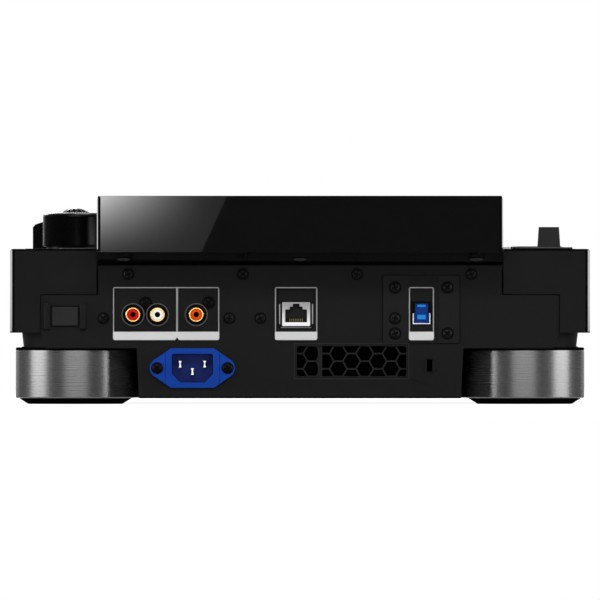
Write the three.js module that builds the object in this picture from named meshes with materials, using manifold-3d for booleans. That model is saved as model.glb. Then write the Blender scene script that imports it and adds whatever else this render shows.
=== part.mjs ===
// Tabletop DJ player: a moulded deck on four round feet, with a large jog wheel, a tilted
// screen housing that overhangs the rear, and the keys, knobs, slider and sockets around them.
// Millimetres, +Z up, +X to the user's right, -Y towards the user. The origin is on the
// table under the middle of the whole deck.

import * as THREE from "three";
import { mergeVertices } from "three/addons/utils/BufferGeometryUtils.js";
import Module from "manifold-3d";

const wasm = await Module();
wasm.setup();

// Clearances
const seatGap = 0.3;
const keyGap = 0.4;
const turningGap = 0.6;
const overrun = 5;

// Deck moulding
const caseWidth = 329;
const caseDepth = 419;
const deckHeight = 87.9;
const skirtHeight = 40.4;
const caseWall = 2.6;
const caseCornerRadius = 3;
const caseEdgeRadius = 1;

// Lengths along the deck, as shares of the case depth
const depthShares = {
  screen: 0.334,
  slider: 0.2184,
  jogCentre: 0.3305,
  searchRow: 0.1385,
  knobSetback: 0.081,
  knobPitch: 0.062,
  lever: 0.2815,
  mediaModule: 0.1766,
  mainBoardFront: 0.179,
  mainBoard: 0.501,
  powerBoard: 0.229,
};

// Heights on the rear panel, as shares of the deck's height above the skirt
const panelHeightShares = {
  step: 0.455,
  power: 0.196,
  jacks: 0.217,
  network: 0.223,
  computer: 0.2335,
  usbPlate: 0.28,
  usbPlateTall: 0.809,
};

// Screen housing, a slab tilted up towards the rear
const screenSideInset = 49.5;
const screenTopHeight = 118;
const screenTrayDepth = 9;
const screenOverhang = 34;
const screenLip = 1;
const screenWall = 3.2;
const screenEdgeBevel = 0.9;
const glassSideMargin = 10;
const glassFrontMargin = 4;
const glassRearMargin = 18;
const glassThickness = 1.6;
const glassLedge = 4;
const displayThickness = 4;
const screenKeyCount = 6;
const screenKeyGap = 9;
const screenKeyLength = 6.4;
const screenKeyRise = 0.9;
const screenKeyCorner = 1.2;
const screenKeyRowMargin = 8.5;

// Rear panel, a sheet with a stepped outline
const panelThickness = 1.2;
const panelRecess = 1;
const panelTopInset = 0.5;
const panelSideInset = 17.5;
const panelSlantInset = 20.5;
const bellyTopHeight = 31.6;
const bellyBottomHeight = 3.5;
const bellyFootGap = 2.6;
const bellyDraft = 1.3;

// Bottom chassis
const chassisWall = 2;
const chassisRimHeight = 9;
const chassisSideInset = 22.5;
const pedestalTopRadius = 30.2;
const pedestalBottomRadius = 29.2;
const bossRadius = 4;
const bossHeight = 6;

// Feet
const footRadius = 33.8;
const footBottomHeight = 3.6;
const footEdge = 0.6;
const footEdgeMargin = 3;
const padTopRadius = 31.8;
const padBottomRadius = 26.8;
const padRecess = 1.2;

// Jog wheel
const sideColumnWidth = 61.5;
const jogRise = 13;
const jogRingWidth = 17;
const jogSkirtGap = 1;
const jogShellThickness = 2.4;
const jogRingTopEdge = 3;
const jogDimpleCount = 24;
const jogDimpleRadius = 5.2;
const jogDimpleDepth = 1.6;
const jogDisplayRadius = 38.4;
const jogDisplayThickness = 6.4;
const jogDisplayCrown = 0.5;
const jogPostRadius = 20;
const jogPostBore = 6;
const jogHubWall = 6;
const jogWellInset = 4;
const jogWellDepth = 15.7;
const jogWellWall = 2.4;
const jogBaseRadius = 34;
const jogBaseThickness = 2.8;
const jogHubLift = 1.5;

// Keys that travel
const keyLip = 1.4;
const keyFlangeThickness = 1;
const keyEdge = 0.35;
const hotCueCount = 8;
const hotCueGap = 3.2;
const hotCueLength = 12;
const hotCueRise = 1;
const hotCueRowMargin = 14.8;
const loopRowPitch = 22;
const loopKeyGap = 3.5;
const loopKeyLength = 11;
const loopKeyRise = 1.6;
const loopPitchShare = 0.12;
const loopOuterShare = 0.66;
const searchKeyWidth = 23;
const searchKeyLength = 11;
const searchKeyRise = 1;
const searchKeySpacing = 26;
const searchRowPitch = 21;
const smallKeyWidth = 17;
const smallKeyLength = 8.6;
const smallKeyRise = 1;
const smallKeyCorner = 1.6;
const smallKeySpacing = 22;
const playRadius = 19;
const cueRadius = 18;
const roundKeyRise = 2.2;
const roundKeySpacing = 56;
const playFromFront = 44;

// Rotary selector
const selectorSideInset = 35.5;
const selectorRowMargin = 21;
const selectorRadius = 17.1;
const selectorRise = 20.9;
const selectorEdge = 1.4;
const selectorLift = 1.6;
const selectorGripRadius = 8.4;
const selectorGripHeight = 2.8;
const selectorGripRibs = 12;
const selectorTravel = 0.6;
const shaftRadius = 3;
const shaftReach = 12;
const encoderSize = 15;
const encoderHeight = 8;

// Small turned knobs
const knobRadius = 8;
const knobHeight = 14;
const knobLift = 0.7;
const knobRibs = 14;
const knobRibDepth = 0.7;
const knobEdge = 1;
const knobPointerWidth = 1.2;
const knobPointerDepth = 0.6;

// Tempo slider
const sliderSideInset = 26;
const sliderTravel = 100;
const sliderCapWidth = 26;
const sliderCapTopWidth = 17;
const sliderCapLength = 14;
const sliderCapRise = 16.1;
const sliderCapShoulderDrop = 3;
const sliderCapLift = 0.8;
const sliderCapGroove = 1.4;
const sliderStemWidth = 2.4;
const sliderStemLength = 7;
const sliderSlotWidth = 3.2;
const sliderBodyWidth = 18;
const sliderBodyHeight = 10;
const sliderBodyWall = 1.6;
const sliderBodyExtra = 12;

// Direction lever
const leverSideInset = 22;
const leverRise = 12.9;
const leverTopWidth = 11.6;
const leverBottomWidth = 13.3;
const leverTopLength = 6;
const leverBottomLength = 8;
const leverEdge = 0.8;
const leverPivotDepth = 9;
const leverPivotRadius = 3;
const leverStemWidth = 8;
const leverStemLength = 4;
const leverSlotLength = 14.4;
const leverPlateRise = 1.1;
const leverPlateLength = 42;

// Media module with the memory card door
const moduleSideInset = 9.8;
const moduleWidth = 33.6;
const moduleFromStep = 16;
const modulePlateRise = 1.1;
const modulePlateBorder = 2.5;
const moduleDepth = 20;
const usbSlotWidth = 13.2;
const usbSlotLength = 5.7;
const usbSlotDepth = 12.5;
const usbTongueWidth = 11;
const usbTongueLength = 1.9;
const usbPlaceShare = 0.23;
const doorWidth = 29;
const doorLength = 13;
const doorThickness = 1.4;
const doorPlaceShare = 0.622;
const doorPocketDepth = 8;
const doorPocketMargin = 1.6;
const doorNotchWidth = 9;
const doorNotchDepth = 1.4;
const cardSlotWidth = 24.8;
const cardSlotLength = 2.7;
const cardSlotDepth = 9;

// Power button with its guard ribs
const powerSideInset = 31.3;
const powerWidth = 15;
const powerTall = 10.8;
const powerStandOut = 1.8;
const powerDepth = 9;
const powerFlange = 1.2;
const guardWidth = 3.6;
const guardTall = 15.4;
const guardStandOut = 2.4;
const guardMargin = 1;

// Sockets on the rear panel
const jackFromPowerWidth = 38.5;
const jackPairSpacing = 13.9;
const jackDigitalSpacing = 22;
const jackHoleRadius = 6.3;
const jackShellRadius = 4.2;
const jackBoreRadius = 1.5;
const jackStandOut = 8;
const jackBoreDepth = 10;
const jackBlockMargin = 6.6;
const jackBlockTall = 15;
const jackBlockDepth = 12;
const inletSideInset = 30.3;
const inletHeight = 20.4;
const inletFlangeWidth = 48.4;
const inletFlangeTall = 22.5;
const inletFlangeThickness = 2.2;
const inletEndRadius = 5.6;
const inletMiddleWidth = 24.3;
const inletBodyWidth = 27.6;
const inletBodyTall = 19.8;
const inletBodyDepth = 21;
const inletMouthWidth = 23.5;
const inletMouthTall = 16.3;
const inletMouthChamfer = 4.8;
const inletMouthDepth = 15;
const inletPinWidth = 2;
const inletPinTall = 4;
const inletPinSpacing = 14;
const inletPinReach = 11;
const inletEarthDrop = 2.4;
const inletPinRaise = 1.6;
const lanMiddleOffset = 7.15;
const lanWidth = 15.9;
const lanTall = 13.6;
const lanBodyDepth = 17;
const lanMouthWidth = 12.4;
const lanMouthTall = 7.4;
const lanStepWidth = 7.2;
const lanNotchWidth = 3.7;
const lanStepTall = 1.6;
const lanMouthDepth = 12;
const lanMouthDrop = 0.8;
const usbBPlateOffset = 0.2;
const usbBWidth = 12;
const usbBTall = 12.8;
const usbBBodyDepth = 15;
const usbBUpperWidth = 6.8;
const usbBUpperTall = 5.4;
const usbBLowerWidth = 8.7;
const usbBLowerTall = 5.4;
const usbBMouthDepth = 11;
const usbBTongueWidth = 5;
const usbBTongueTall = 1.6;
const usbPlateSideInset = 45.8;
const usbPlateWidth = 43.4;
const usbPlateThickness = 0.8;
const usbPlateCorner = 1.2;
const usbPlateOpeningMargin = 5;
const ventPlaceShare = 0.16;
const ventWidthShare = 0.34;
const ventHeight = 24.3;
const ventTall = 17;
const ventCorner = 1.5;
const ventColumnPitch = 7.3;
const ventRowPitch = 8.5;
const ventWebThickness = 1.2;
const ventCellSides = 6;
const ventPlateThickness = 1.5;
const ventRimThickness = 2;
const ventRimDepth = 2.5;
const lockSideInset = 17.8;
const lockHeight = 21.9;
const lockWidth = 3;
const lockTall = 7;

// Boards inside
const boardThickness = 1.6;
const boardMargin = 5;
const powerBoardWidthShare = 0.71;
const boardGap = 12;
const chipSize = 28;
const chipHeight = 3;
const heatsinkWidthShare = 0.26;
const heatsinkHeight = 12;
const heatsinkFins = 7;
const heatsinkFinThickness = 1.6;
const transformerWidthShare = 0.25;
const transformerHeight = 22;
const capacitorRadius = 9;
const capacitorGap = 3.6;
const capacitorHeight = 20;

// Places of the small moulded keys, as shares of the half width and of the case depth
const mouldedKeyShares = [
  { across: 0.17, along: 0.65 },
  { across: 0.3, along: 0.65 },
  { across: 0.43, along: 0.65 },
  { across: 0.56, along: 0.65 },
  { across: -0.16, along: 0.65 },
  { across: -0.03, along: 0.65 },
  { across: -0.68, along: 0.6 },
  { across: -0.68, along: 0.565 },
  { across: -0.9, along: 0.522 },
  { across: -0.745, along: 0.522 },
  { across: 0.91, along: 0.615 },
  { across: 0.91, along: 0.575 },
  { across: 0.91, along: 0.43 },
  { across: 0.7, along: 0.218 },
];
const mouldedKeyWidthShare = 0.92;

// Smoothness
const largeSegments = 48;
const middleSegments = 24;
const roundKeySegments = 12;
const smallSegments = 8;
const dimpleSegments = 6;
const cornerSegments = 1;

// Places worked out from the sizes above
const halfWidth = caseWidth / 2;
const frontY = -(caseDepth + screenOverhang) / 2;
const rearY = frontY + caseDepth;
const deckUnderside = deckHeight - caseWall;
const trayHeight = deckHeight - screenTrayDepth;
const screenWidth = caseWidth - 2 * screenSideInset;
const screenSlopeLength = caseDepth * depthShares.screen;
const screenFrontZ = deckHeight + screenLip;
const tilt = Math.asin((screenTopHeight - screenFrontZ) / screenSlopeLength);
const screenRearLowY = rearY + screenOverhang;
const screenRearLowZ = trayHeight + screenOverhang * Math.tan(tilt);
const screenRearTopY = screenRearLowY - (screenTopHeight - screenRearLowZ) * Math.tan(tilt);
const screenFrontY = screenRearTopY - screenSlopeLength * Math.cos(tilt);
const glassWidth = screenWidth - 2 * glassSideMargin;
const glassLength = screenSlopeLength - glassFrontMargin - glassRearMargin;
const panelOuterY = rearY - panelRecess;
const panelInnerY = panelOuterY - panelThickness;
const chassisRearY = panelInnerY - seatGap;
const chassisFrontY = frontY + caseWall + keyGap;
const panRearY = rearY - caseWall - keyGap;
const chassisHalfWidth = halfWidth - caseWall - keyGap;
const footX = halfWidth - footEdgeMargin - footRadius;
const rearFootY = rearY - footEdgeMargin - footRadius;
const frontFootY = frontY + footEdgeMargin + footRadius;
const bellyWidth = 2 * (footX - footRadius - bellyFootGap);
const chassisMiddleWidth = caseWidth - 2 * chassisSideInset;
const panelTopWidth = screenWidth - 2 * panelTopInset;
const panelWideWidth = caseWidth - 2 * panelSideInset;
const panelSlantWidth = caseWidth - 2 * panelSlantInset;
const panelHeight = (share) => skirtHeight + (deckHeight - skirtHeight) * share;
const panelStepHeight = panelHeight(panelHeightShares.step);
const powerHeight = panelHeight(panelHeightShares.power);
const jackHeight = panelHeight(panelHeightShares.jacks);
const lanHeight = panelHeight(panelHeightShares.network);
const usbBHeight = panelHeight(panelHeightShares.computer);
const usbPlateHeight = panelHeight(panelHeightShares.usbPlate);
const usbPlateTall = (deckHeight - skirtHeight) * panelHeightShares.usbPlateTall;
const jogRadius = halfWidth - sideColumnWidth;
const jogWellRadius = jogRadius - jogWellInset;
const jogY = frontY + caseDepth * depthShares.jogCentre;
const jogTopHeight = deckHeight + jogRise;
const jogWellFloor = deckHeight - jogWellDepth;
const jogPostTop = jogTopHeight - jogDisplayThickness;
const jogInnerRadius = jogDisplayRadius + turningGap;
const hotCuePitch = screenWidth / (hotCueCount + 1);
const hotCueY = screenFrontY - hotCueRowMargin;
const loopRowY = hotCueY - loopRowPitch;
const selectorX = halfWidth - selectorSideInset;
const selectorY = screenFrontY - selectorRowMargin;
const selectorBottom = deckHeight + selectorLift;
const selectorTopHeight = deckHeight + selectorRise;
const knobY = selectorY - caseDepth * depthShares.knobSetback;
const knobPitch = caseDepth * depthShares.knobPitch;
const searchRowY = jogY + caseDepth * depthShares.searchRow;
const columnX = (jogRadius + halfWidth) / 2;
const sliderX = halfWidth - sliderSideInset;
const sliderY = frontY + caseDepth * depthShares.slider;
const sliderCapTopHeight = deckHeight + sliderCapRise;
const sliderCapShoulderHeight = sliderCapTopHeight - sliderCapShoulderDrop;
const sliderSlotLength = sliderTravel + sliderStemLength + 2 * keyGap;
const moduleX = -halfWidth + moduleSideInset + moduleWidth / 2;
const moduleFrontY = screenFrontY + moduleFromStep;
const moduleTop = deckHeight + modulePlateRise;
const moduleLength = caseDepth * depthShares.mediaModule;
const doorY = moduleFrontY + moduleLength * doorPlaceShare;
const usbSlotY = moduleFrontY + moduleLength * usbPlaceShare;
const leverX = halfWidth - leverSideInset;
const leverY = jogY + caseDepth * depthShares.lever;
const leverTopHeight = deckHeight + leverRise;
const leverPivotZ = deckHeight - leverPivotDepth;
const bellyFloorTop = bellyBottomHeight + chassisWall;
const powerX = halfWidth - powerSideInset;
const jackPairOuterX = powerX - jackFromPowerWidth;
const jackPairInnerX = jackPairOuterX - jackPairSpacing;
const jackDigitalX = jackPairInnerX - jackDigitalSpacing;
const inletX = bellyWidth / 2 - inletSideInset;
const usbPlateX = usbPlateSideInset - panelTopWidth / 2;
const usbBX = usbPlateX - usbBPlateOffset;
const lanX = (jackDigitalX + usbPlateX) / 2 + lanMiddleOffset;
const ventX = -bellyWidth * ventPlaceShare;
const ventWidth = bellyWidth * ventWidthShare;
const lockX = lockSideInset - bellyWidth / 2;

// Finishes
function finish(colour, roughness, metalness) {
  return new THREE.MeshStandardMaterial({ color: colour, roughness, metalness });
}

const blackPlastic = finish(0x17181a, 0.5, 0);
const glossBlack = finish(0x0d0e10, 0.12, 0);
const blackSteel = finish(0x1c1d1f, 0.55, 0.3);
const darkPlastic = finish(0x222326, 0.6, 0);
const footMetal = finish(0x6b6d70, 0.35, 0.85);
const rubber = finish(0x0c0c0d, 0.9, 0);
const silverMetal = finish(0xb9bbbe, 0.3, 0.9);
const jogMetal = finish(0x2a2b2e, 0.35, 0.7);
const glass = finish(0x08090b, 0.05, 0);
const greyKey = finish(0xb8babd, 0.45, 0.1);
const blueInlet = finish(0x17429a, 0.45, 0);
const goldShell = finish(0xc9a24a, 0.3, 0.9);
const boardGreen = finish(0x1d4d33, 0.6, 0);
const padGrey = finish(0x4a4c50, 0.7, 0);

// Shapes in a plane
function roundedRectangle(x, y, width, length, radius, path = new THREE.Shape()) {
  const left = x - width / 2;
  const right = x + width / 2;
  const low = y - length / 2;
  const high = y + length / 2;
  path.moveTo(left + radius, low);
  path.lineTo(right - radius, low);
  path.absarc(right - radius, low + radius, radius, -Math.PI / 2, 0, false);
  path.lineTo(right, high - radius);
  path.absarc(right - radius, high - radius, radius, 0, Math.PI / 2, false);
  path.lineTo(left + radius, high);
  path.absarc(left + radius, high - radius, radius, Math.PI / 2, Math.PI, false);
  path.lineTo(left, low + radius);
  path.absarc(left + radius, low + radius, radius, Math.PI, Math.PI * 1.5, false);
  path.closePath();
  return path;
}

function rectangle(x, y, width, length, path = new THREE.Shape()) {
  path.moveTo(x - width / 2, y - length / 2);
  path.lineTo(x + width / 2, y - length / 2);
  path.lineTo(x + width / 2, y + length / 2);
  path.lineTo(x - width / 2, y + length / 2);
  path.closePath();
  return path;
}

function circle(x, y, radius, path = new THREE.Shape()) {
  path.absarc(x, y, radius, 0, Math.PI * 2, false);
  return path;
}

function polygon(points, path = new THREE.Shape()) {
  path.setFromPoints(points.map(([x, y]) => new THREE.Vector2(x, y)));
  path.closePath();
  return path;
}

// Moves every side of a convex outline inwards by its own distance.
function insetConvex(points, distance) {
  const count = points.length;
  const line = (index) => {
    const [x1, y1] = points[index];
    const [x2, y2] = points[(index + 1) % count];
    const length = Math.hypot(x2 - x1, y2 - y1);
    const normal = [-(y2 - y1) / length, (x2 - x1) / length];
    const offset = normal[0] * x1 + normal[1] * y1 + distance;
    return { normal, offset };
  };
  return points.map((_, index) => {
    const a = line((index + count - 1) % count);
    const b = line(index);
    const cross = a.normal[0] * b.normal[1] - a.normal[1] * b.normal[0];
    const x = (a.offset * b.normal[1] - b.offset * a.normal[1]) / cross;
    const y = (a.normal[0] * b.offset - b.normal[0] * a.offset) / cross;
    return [x, y];
  });
}

// Solids
function solidOf(geometry) {
  const bare = geometry.index ? geometry.toNonIndexed() : geometry.clone();
  bare.deleteAttribute("normal");
  bare.deleteAttribute("uv");
  const merged = mergeVertices(bare);
  const vertProperties = new Float32Array(merged.attributes.position.array);
  const triVerts = new Uint32Array(merged.index.array);
  if (signedVolume(vertProperties, triVerts) < 0) {
    triVerts.reverse();
  }
  return new wasm.Manifold(new wasm.Mesh({ numProp: 3, vertProperties, triVerts }));
}

function signedVolume(positions, triangles) {
  const corners = [new THREE.Vector3(), new THREE.Vector3(), new THREE.Vector3()];
  let total = 0;
  for (let start = 0; start < triangles.length; start += 3) {
    corners.forEach((corner, index) => corner.fromArray(positions, triangles[start + index] * 3));
    total += corners[0].dot(corners[1].cross(corners[2]));
  }
  return total;
}

function extrude(shape, length, segments, bevel) {
  const rounded = bevel > 0;
  return new THREE.ExtrudeGeometry(shape, {
    depth: rounded ? length - 2 * bevel : length,
    curveSegments: segments,
    bevelEnabled: rounded,
    bevelThickness: bevel,
    bevelSize: bevel,
    bevelOffset: -bevel,
    bevelSegments: 1,
  }).translate(0, 0, bevel);
}

// An outline in X and Y, raised from one height to another.
function upright(shape, low, high, segments = cornerSegments, bevel = 0) {
  return solidOf(extrude(shape, high - low, segments, bevel).translate(0, 0, low));
}

// An outline in X and Z, run from a front depth to a rear depth.
function lengthwise(shape, front, rear, segments = cornerSegments, bevel = 0) {
  const geometry = extrude(shape, rear - front, segments, bevel);
  return solidOf(geometry.rotateX(Math.PI / 2).translate(0, rear, 0));
}

// An outline in Y and Z, run across from left to right.
function crosswise(shape, left, right, segments = cornerSegments, bevel = 0) {
  const geometry = extrude(shape, right - left, segments, bevel);
  const turn = new THREE.Matrix4().set(0, 0, 1, left, 1, 0, 0, 0, 0, 1, 0, 0, 0, 0, 0, 1);
  return solidOf(geometry.applyMatrix4(turn));
}

// A profile of radius and height pairs, turned about the upright axis.
function turned(profile, segments, x = 0, y = 0) {
  const points = profile.map(([radius, height]) => new THREE.Vector2(radius, height));
  const geometry = new THREE.LatheGeometry(points, segments);
  return solidOf(geometry.rotateX(Math.PI / 2).translate(x, y, 0));
}

function block(x1, x2, y1, y2, z1, z2) {
  const geometry = new THREE.BoxGeometry(x2 - x1, y2 - y1, z2 - z1);
  return solidOf(geometry.translate((x1 + x2) / 2, (y1 + y2) / 2, (z1 + z2) / 2));
}

function joined(first, ...others) {
  return others.reduce((total, solid) => total.add(solid), first);
}

function cut(first, ...others) {
  return others.reduce((total, solid) => total.subtract(solid), first);
}

const deck = new THREE.Group();

function addPiece(name, solid, material, carrier = deck) {
  const { vertProperties, triVerts } = solid.getMesh();
  const geometry = new THREE.BufferGeometry();
  geometry.setAttribute("position", new THREE.BufferAttribute(vertProperties, 3));
  geometry.setIndex(new THREE.BufferAttribute(triVerts, 1));
  geometry.computeVertexNormals();
  const mesh = new THREE.Mesh(geometry, material);
  mesh.name = name;
  carrier.add(mesh);
  return mesh;
}

// Keys: a cap that stands through the deck and a flange that holds it from below
function keyOutline(key, growth) {
  if (key.radius) {
    return circle(key.x, key.y, key.radius + growth);
  }
  const corner = key.corner + growth;
  return roundedRectangle(key.x, key.y, key.width + 2 * growth, key.length + 2 * growth, corner);
}

function keySolid(key) {
  const segments = key.radius ? roundKeySegments : cornerSegments;
  const flangeTop = deckUnderside - seatGap;
  const flangeLow = flangeTop - keyFlangeThickness;
  const cap = upright(keyOutline(key, 0), flangeLow, deckHeight + key.rise, segments, keyEdge);
  const flange = upright(keyOutline(key, keyLip), flangeLow, flangeTop, segments);
  return cap.add(flange);
}

function keyHole(key) {
  const segments = key.radius ? roundKeySegments : cornerSegments;
  return upright(keyOutline(key, keyGap), deckUnderside - overrun, deckHeight + overrun, segments);
}

function rectangularKey(name, x, y, width, length, rise, material) {
  return { name, x, y, width, length, rise, corner: smallKeyCorner, material };
}

function hotCueKeys() {
  return Array.from({ length: hotCueCount }, (_, index) => {
    const letter = String.fromCharCode("a".charCodeAt(0) + index);
    const x = (index - (hotCueCount - 1) / 2) * hotCuePitch;
    const width = hotCuePitch - hotCueGap;
    return rectangularKey(`hot_cue_${letter}`, x, hotCueY, width, hotCueLength, hotCueRise, padGrey);
  });
}

function loopKeys() {
  const pitch = screenWidth * loopPitchShare;
  return ["loop_in_key", "loop_out_key", "reloop_key"].map((name, index) => {
    const x = index * pitch - halfWidth * loopOuterShare;
    return rectangularKey(name, x, loopRowY, pitch - loopKeyGap, loopKeyLength, loopKeyRise, greyKey);
  });
}

function searchKeys() {
  const rows = ["track", "search"];
  const sides = ["back", "forward"];
  return rows.flatMap((row, down) => sides.map((side, right) => {
    const x = -columnX + (right - 1 / 2) * searchKeySpacing;
    const y = searchRowY - down * searchRowPitch;
    const name = `${row}_${side}_key`;
    return rectangularKey(name, x, y, searchKeyWidth, searchKeyLength, searchKeyRise, darkPlastic);
  }));
}

function smallKeys() {
  const syncY = searchRowY + smallKeyLength;
  const tempoY = syncY - searchRowPitch;
  const backY = moduleFrontY;
  const small = (name, x, y) => (
    rectangularKey(name, x, y, smallKeyWidth, smallKeyLength, smallKeyRise, darkPlastic)
  );
  return [
    small("beat_sync_key", columnX - smallKeySpacing / 2, syncY),
    small("master_key", columnX + smallKeySpacing / 2, syncY),
    small("master_tempo_key", columnX - smallKeySpacing / 2, tempoY),
    small("back_key", columnX - smallKeySpacing / 4, backY),
    small("tag_key", columnX - smallKeySpacing / 4, backY + smallKeySpacing),
  ];
}

const playKey = {
  name: "play_button",
  x: -columnX,
  y: frontY + playFromFront,
  radius: playRadius,
  rise: roundKeyRise,
  material: blackPlastic,
};
const cueKey = {
  name: "cue_button",
  x: -columnX,
  y: playKey.y + roundKeySpacing,
  radius: cueRadius,
  rise: roundKeyRise,
  material: blackPlastic,
};
const keys = [...hotCueKeys(), ...loopKeys(), ...searchKeys(), ...smallKeys(), playKey, cueKey];

const knobs = ["jog_adjust_knob", "vinyl_speed_knob"].map((name, index) => ({
  name,
  x: selectorX,
  y: knobY - index * knobPitch,
}));

// Deck moulding: plate, skirt, stepped rear wall, screen tray and jog well
function deckShell() {
  const middleY = (frontY + rearY) / 2;
  const outline = roundedRectangle(0, middleY, caseWidth, caseDepth, caseCornerRadius);
  const blank = upright(outline, skirtHeight - overrun, deckHeight, cornerSegments, caseEdgeRadius);
  const lowered = cut(blank, block(
    -caseWidth, caseWidth, -caseDepth, caseDepth, skirtHeight - 2 * overrun, skirtHeight,
  ));
  const inside = rectangle(0, middleY, caseWidth - 2 * caseWall, caseDepth - 2 * caseWall);
  return cut(lowered, upright(inside, skirtHeight - overrun, deckUnderside));
}

function screenTray() {
  const half = screenWidth / 2 + seatGap + caseWall;
  const front = screenFrontY - seatGap - caseWall;
  const top = deckUnderside + caseWall / 2;
  return block(-half, half, front, chassisRearY, trayHeight - caseWall, top);
}

function screenTrayRoom() {
  const half = screenWidth / 2 + seatGap;
  return block(-half, half, screenFrontY - seatGap, rearY + overrun, trayHeight, deckHeight + overrun);
}

function jogWell() {
  const outer = jogWellRadius + jogWellWall;
  const low = jogWellFloor - jogWellWall;
  return upright(circle(0, jogY, outer), low, deckUnderside + caseWall / 2, largeSegments / 2);
}

function jogWellRoom() {
  const top = deckHeight + overrun;
  const room = upright(circle(0, jogY, jogWellRadius), jogWellFloor, top, largeSegments / 2);
  const bore = upright(circle(0, jogY, jogPostBore), jogWellFloor - overrun, deckHeight, smallSegments);
  return room.add(bore);
}

function rearNotch() {
  const upper = screenWidth / 2 + seatGap;
  const wide = panelWideWidth / 2 + seatGap;
  const step = panelStepHeight + seatGap;
  const low = skirtHeight - overrun;
  const outline = polygon([
    [-wide, low], [wide, low], [wide, step], [upper, step], [upper, trayHeight + overrun],
    [-upper, trayHeight + overrun], [-upper, step], [-wide, step],
  ]);
  return lengthwise(outline, panRearY, rearY + overrun);
}

function mouldedKeys() {
  return mouldedKeyShares.map(({ across, along }) => {
    const x = across * halfWidth;
    const y = frontY + along * caseDepth;
    const width = smallKeyWidth * mouldedKeyWidthShare;
    const outline = roundedRectangle(x, y, width, smallKeyLength, smallKeyCorner);
    return upright(outline, deckHeight - caseWall, deckHeight + smallKeyRise, cornerSegments, keyEdge);
  });
}

function leverPlate() {
  const outline = roundedRectangle(moduleX, leverY, moduleWidth, leverPlateLength, smallKeyCorner);
  return upright(outline, deckHeight - caseWall, deckHeight + leverPlateRise);
}

function deckCuts() {
  const sliderSlot = upright(
    rectangle(sliderX, sliderY, sliderSlotWidth, sliderSlotLength),
    deckUnderside - overrun, deckHeight + overrun,
  );
  const leverSlot = upright(
    rectangle(-leverX, leverY, leverBottomWidth + 2 * keyGap, leverSlotLength),
    deckUnderside - overrun, deckHeight + overrun,
  );
  const shaftHoles = [{ x: selectorX, y: selectorY }, ...knobs].map(({ x, y }) => upright(
    circle(x, y, shaftRadius + keyGap), deckUnderside - overrun, deckHeight + overrun, smallSegments,
  ));
  const moduleBodyWidth = moduleWidth - 2 * modulePlateBorder + 2 * seatGap;
  const moduleBodyLength = moduleLength - 2 * modulePlateBorder + 2 * seatGap;
  const moduleHole = upright(
    rectangle(moduleX, moduleFrontY + moduleLength / 2, moduleBodyWidth, moduleBodyLength),
    deckUnderside - overrun, deckHeight + overrun,
  );
  return [sliderSlot, leverSlot, ...shaftHoles, moduleHole];
}

function buildTopCase() {
  const body = joined(deckShell(), screenTray(), jogWell(), leverPlate(), ...mouldedKeys());
  const rooms = [screenTrayRoom(), jogWellRoom(), rearNotch(), ...deckCuts(), ...keys.map(keyHole)];
  addPiece("top_case", cut(body, ...rooms), blackPlastic);
}

// Bottom chassis: wide pan, belly that clears the round feet, pedestals over the feet
function bellyOutline(inset) {
  const rear = chassisRearY - inset;
  const front = chassisFrontY + inset;
  const narrow = bellyWidth / 2 - inset;
  const wide = chassisMiddleWidth / 2 - inset;
  const clear = footX - bellyWidth / 2 + inset;
  const shape = new THREE.Shape();
  shape.moveTo(-narrow, rear);
  shape.lineTo(-narrow, rearFootY);
  shape.absarc(-footX, rearFootY, clear, 0, -Math.PI / 2, true);
  shape.lineTo(-wide, rearFootY - clear);
  shape.lineTo(-wide, frontFootY + clear);
  shape.lineTo(-footX, frontFootY + clear);
  shape.absarc(-footX, frontFootY, clear, Math.PI / 2, 0, true);
  shape.lineTo(-narrow, front);
  shape.lineTo(narrow, front);
  shape.lineTo(narrow, frontFootY);
  shape.absarc(footX, frontFootY, clear, Math.PI, Math.PI / 2, true);
  shape.lineTo(wide, frontFootY + clear);
  shape.lineTo(wide, rearFootY - clear);
  shape.lineTo(footX, rearFootY - clear);
  shape.absarc(footX, rearFootY, clear, -Math.PI / 2, -Math.PI, true);
  shape.lineTo(narrow, rear);
  shape.closePath();
  return shape;
}

function wideBody(inset, low, high) {
  const top = panelWideWidth / 2 - inset;
  const bottom = panelSlantWidth / 2 - inset;
  const outline = polygon([[-bottom, low], [bottom, low], [top, high], [-top, high]]);
  return lengthwise(outline, chassisFrontY + inset, chassisRearY + (inset > 0 ? overrun : 0));
}

function pedestal(x, y, inset) {
  const low = bellyTopHeight + inset;
  return turned([
    [0, low], [pedestalBottomRadius - inset, low],
    [pedestalTopRadius - inset, skirtHeight + inset], [0, skirtHeight + inset],
  ], middleSegments, x, y);
}

function footPlaces() {
  return [
    { name: "rear_left", x: -footX, y: rearFootY },
    { name: "rear_right", x: footX, y: rearFootY },
    { name: "front_left", x: -footX, y: frontFootY },
    { name: "front_right", x: footX, y: frontFootY },
  ];
}

function bossPlaces(left, right, front, rear) {
  return [[left, front], [right, front], [left, rear], [right, rear]];
}

const boardHeight = bellyFloorTop + bossHeight;
const mainBoardFrontY = frontY + caseDepth * depthShares.mainBoardFront;
const mainBoard = {
  left: -bellyWidth / 2 + chassisWall + boardMargin,
  right: bellyWidth / 2 - chassisWall - boardMargin,
  front: mainBoardFrontY,
  rear: mainBoardFrontY + caseDepth * depthShares.mainBoard,
};
const mainBoardWidth = mainBoard.right - mainBoard.left;
const powerBoardWidth = mainBoardWidth * powerBoardWidthShare;
const powerBoard = {
  left: mainBoard.right - powerBoardWidth,
  right: mainBoard.right,
  front: mainBoard.rear + boardGap / 2,
  rear: mainBoard.rear + boardGap / 2 + caseDepth * depthShares.powerBoard,
};

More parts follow.
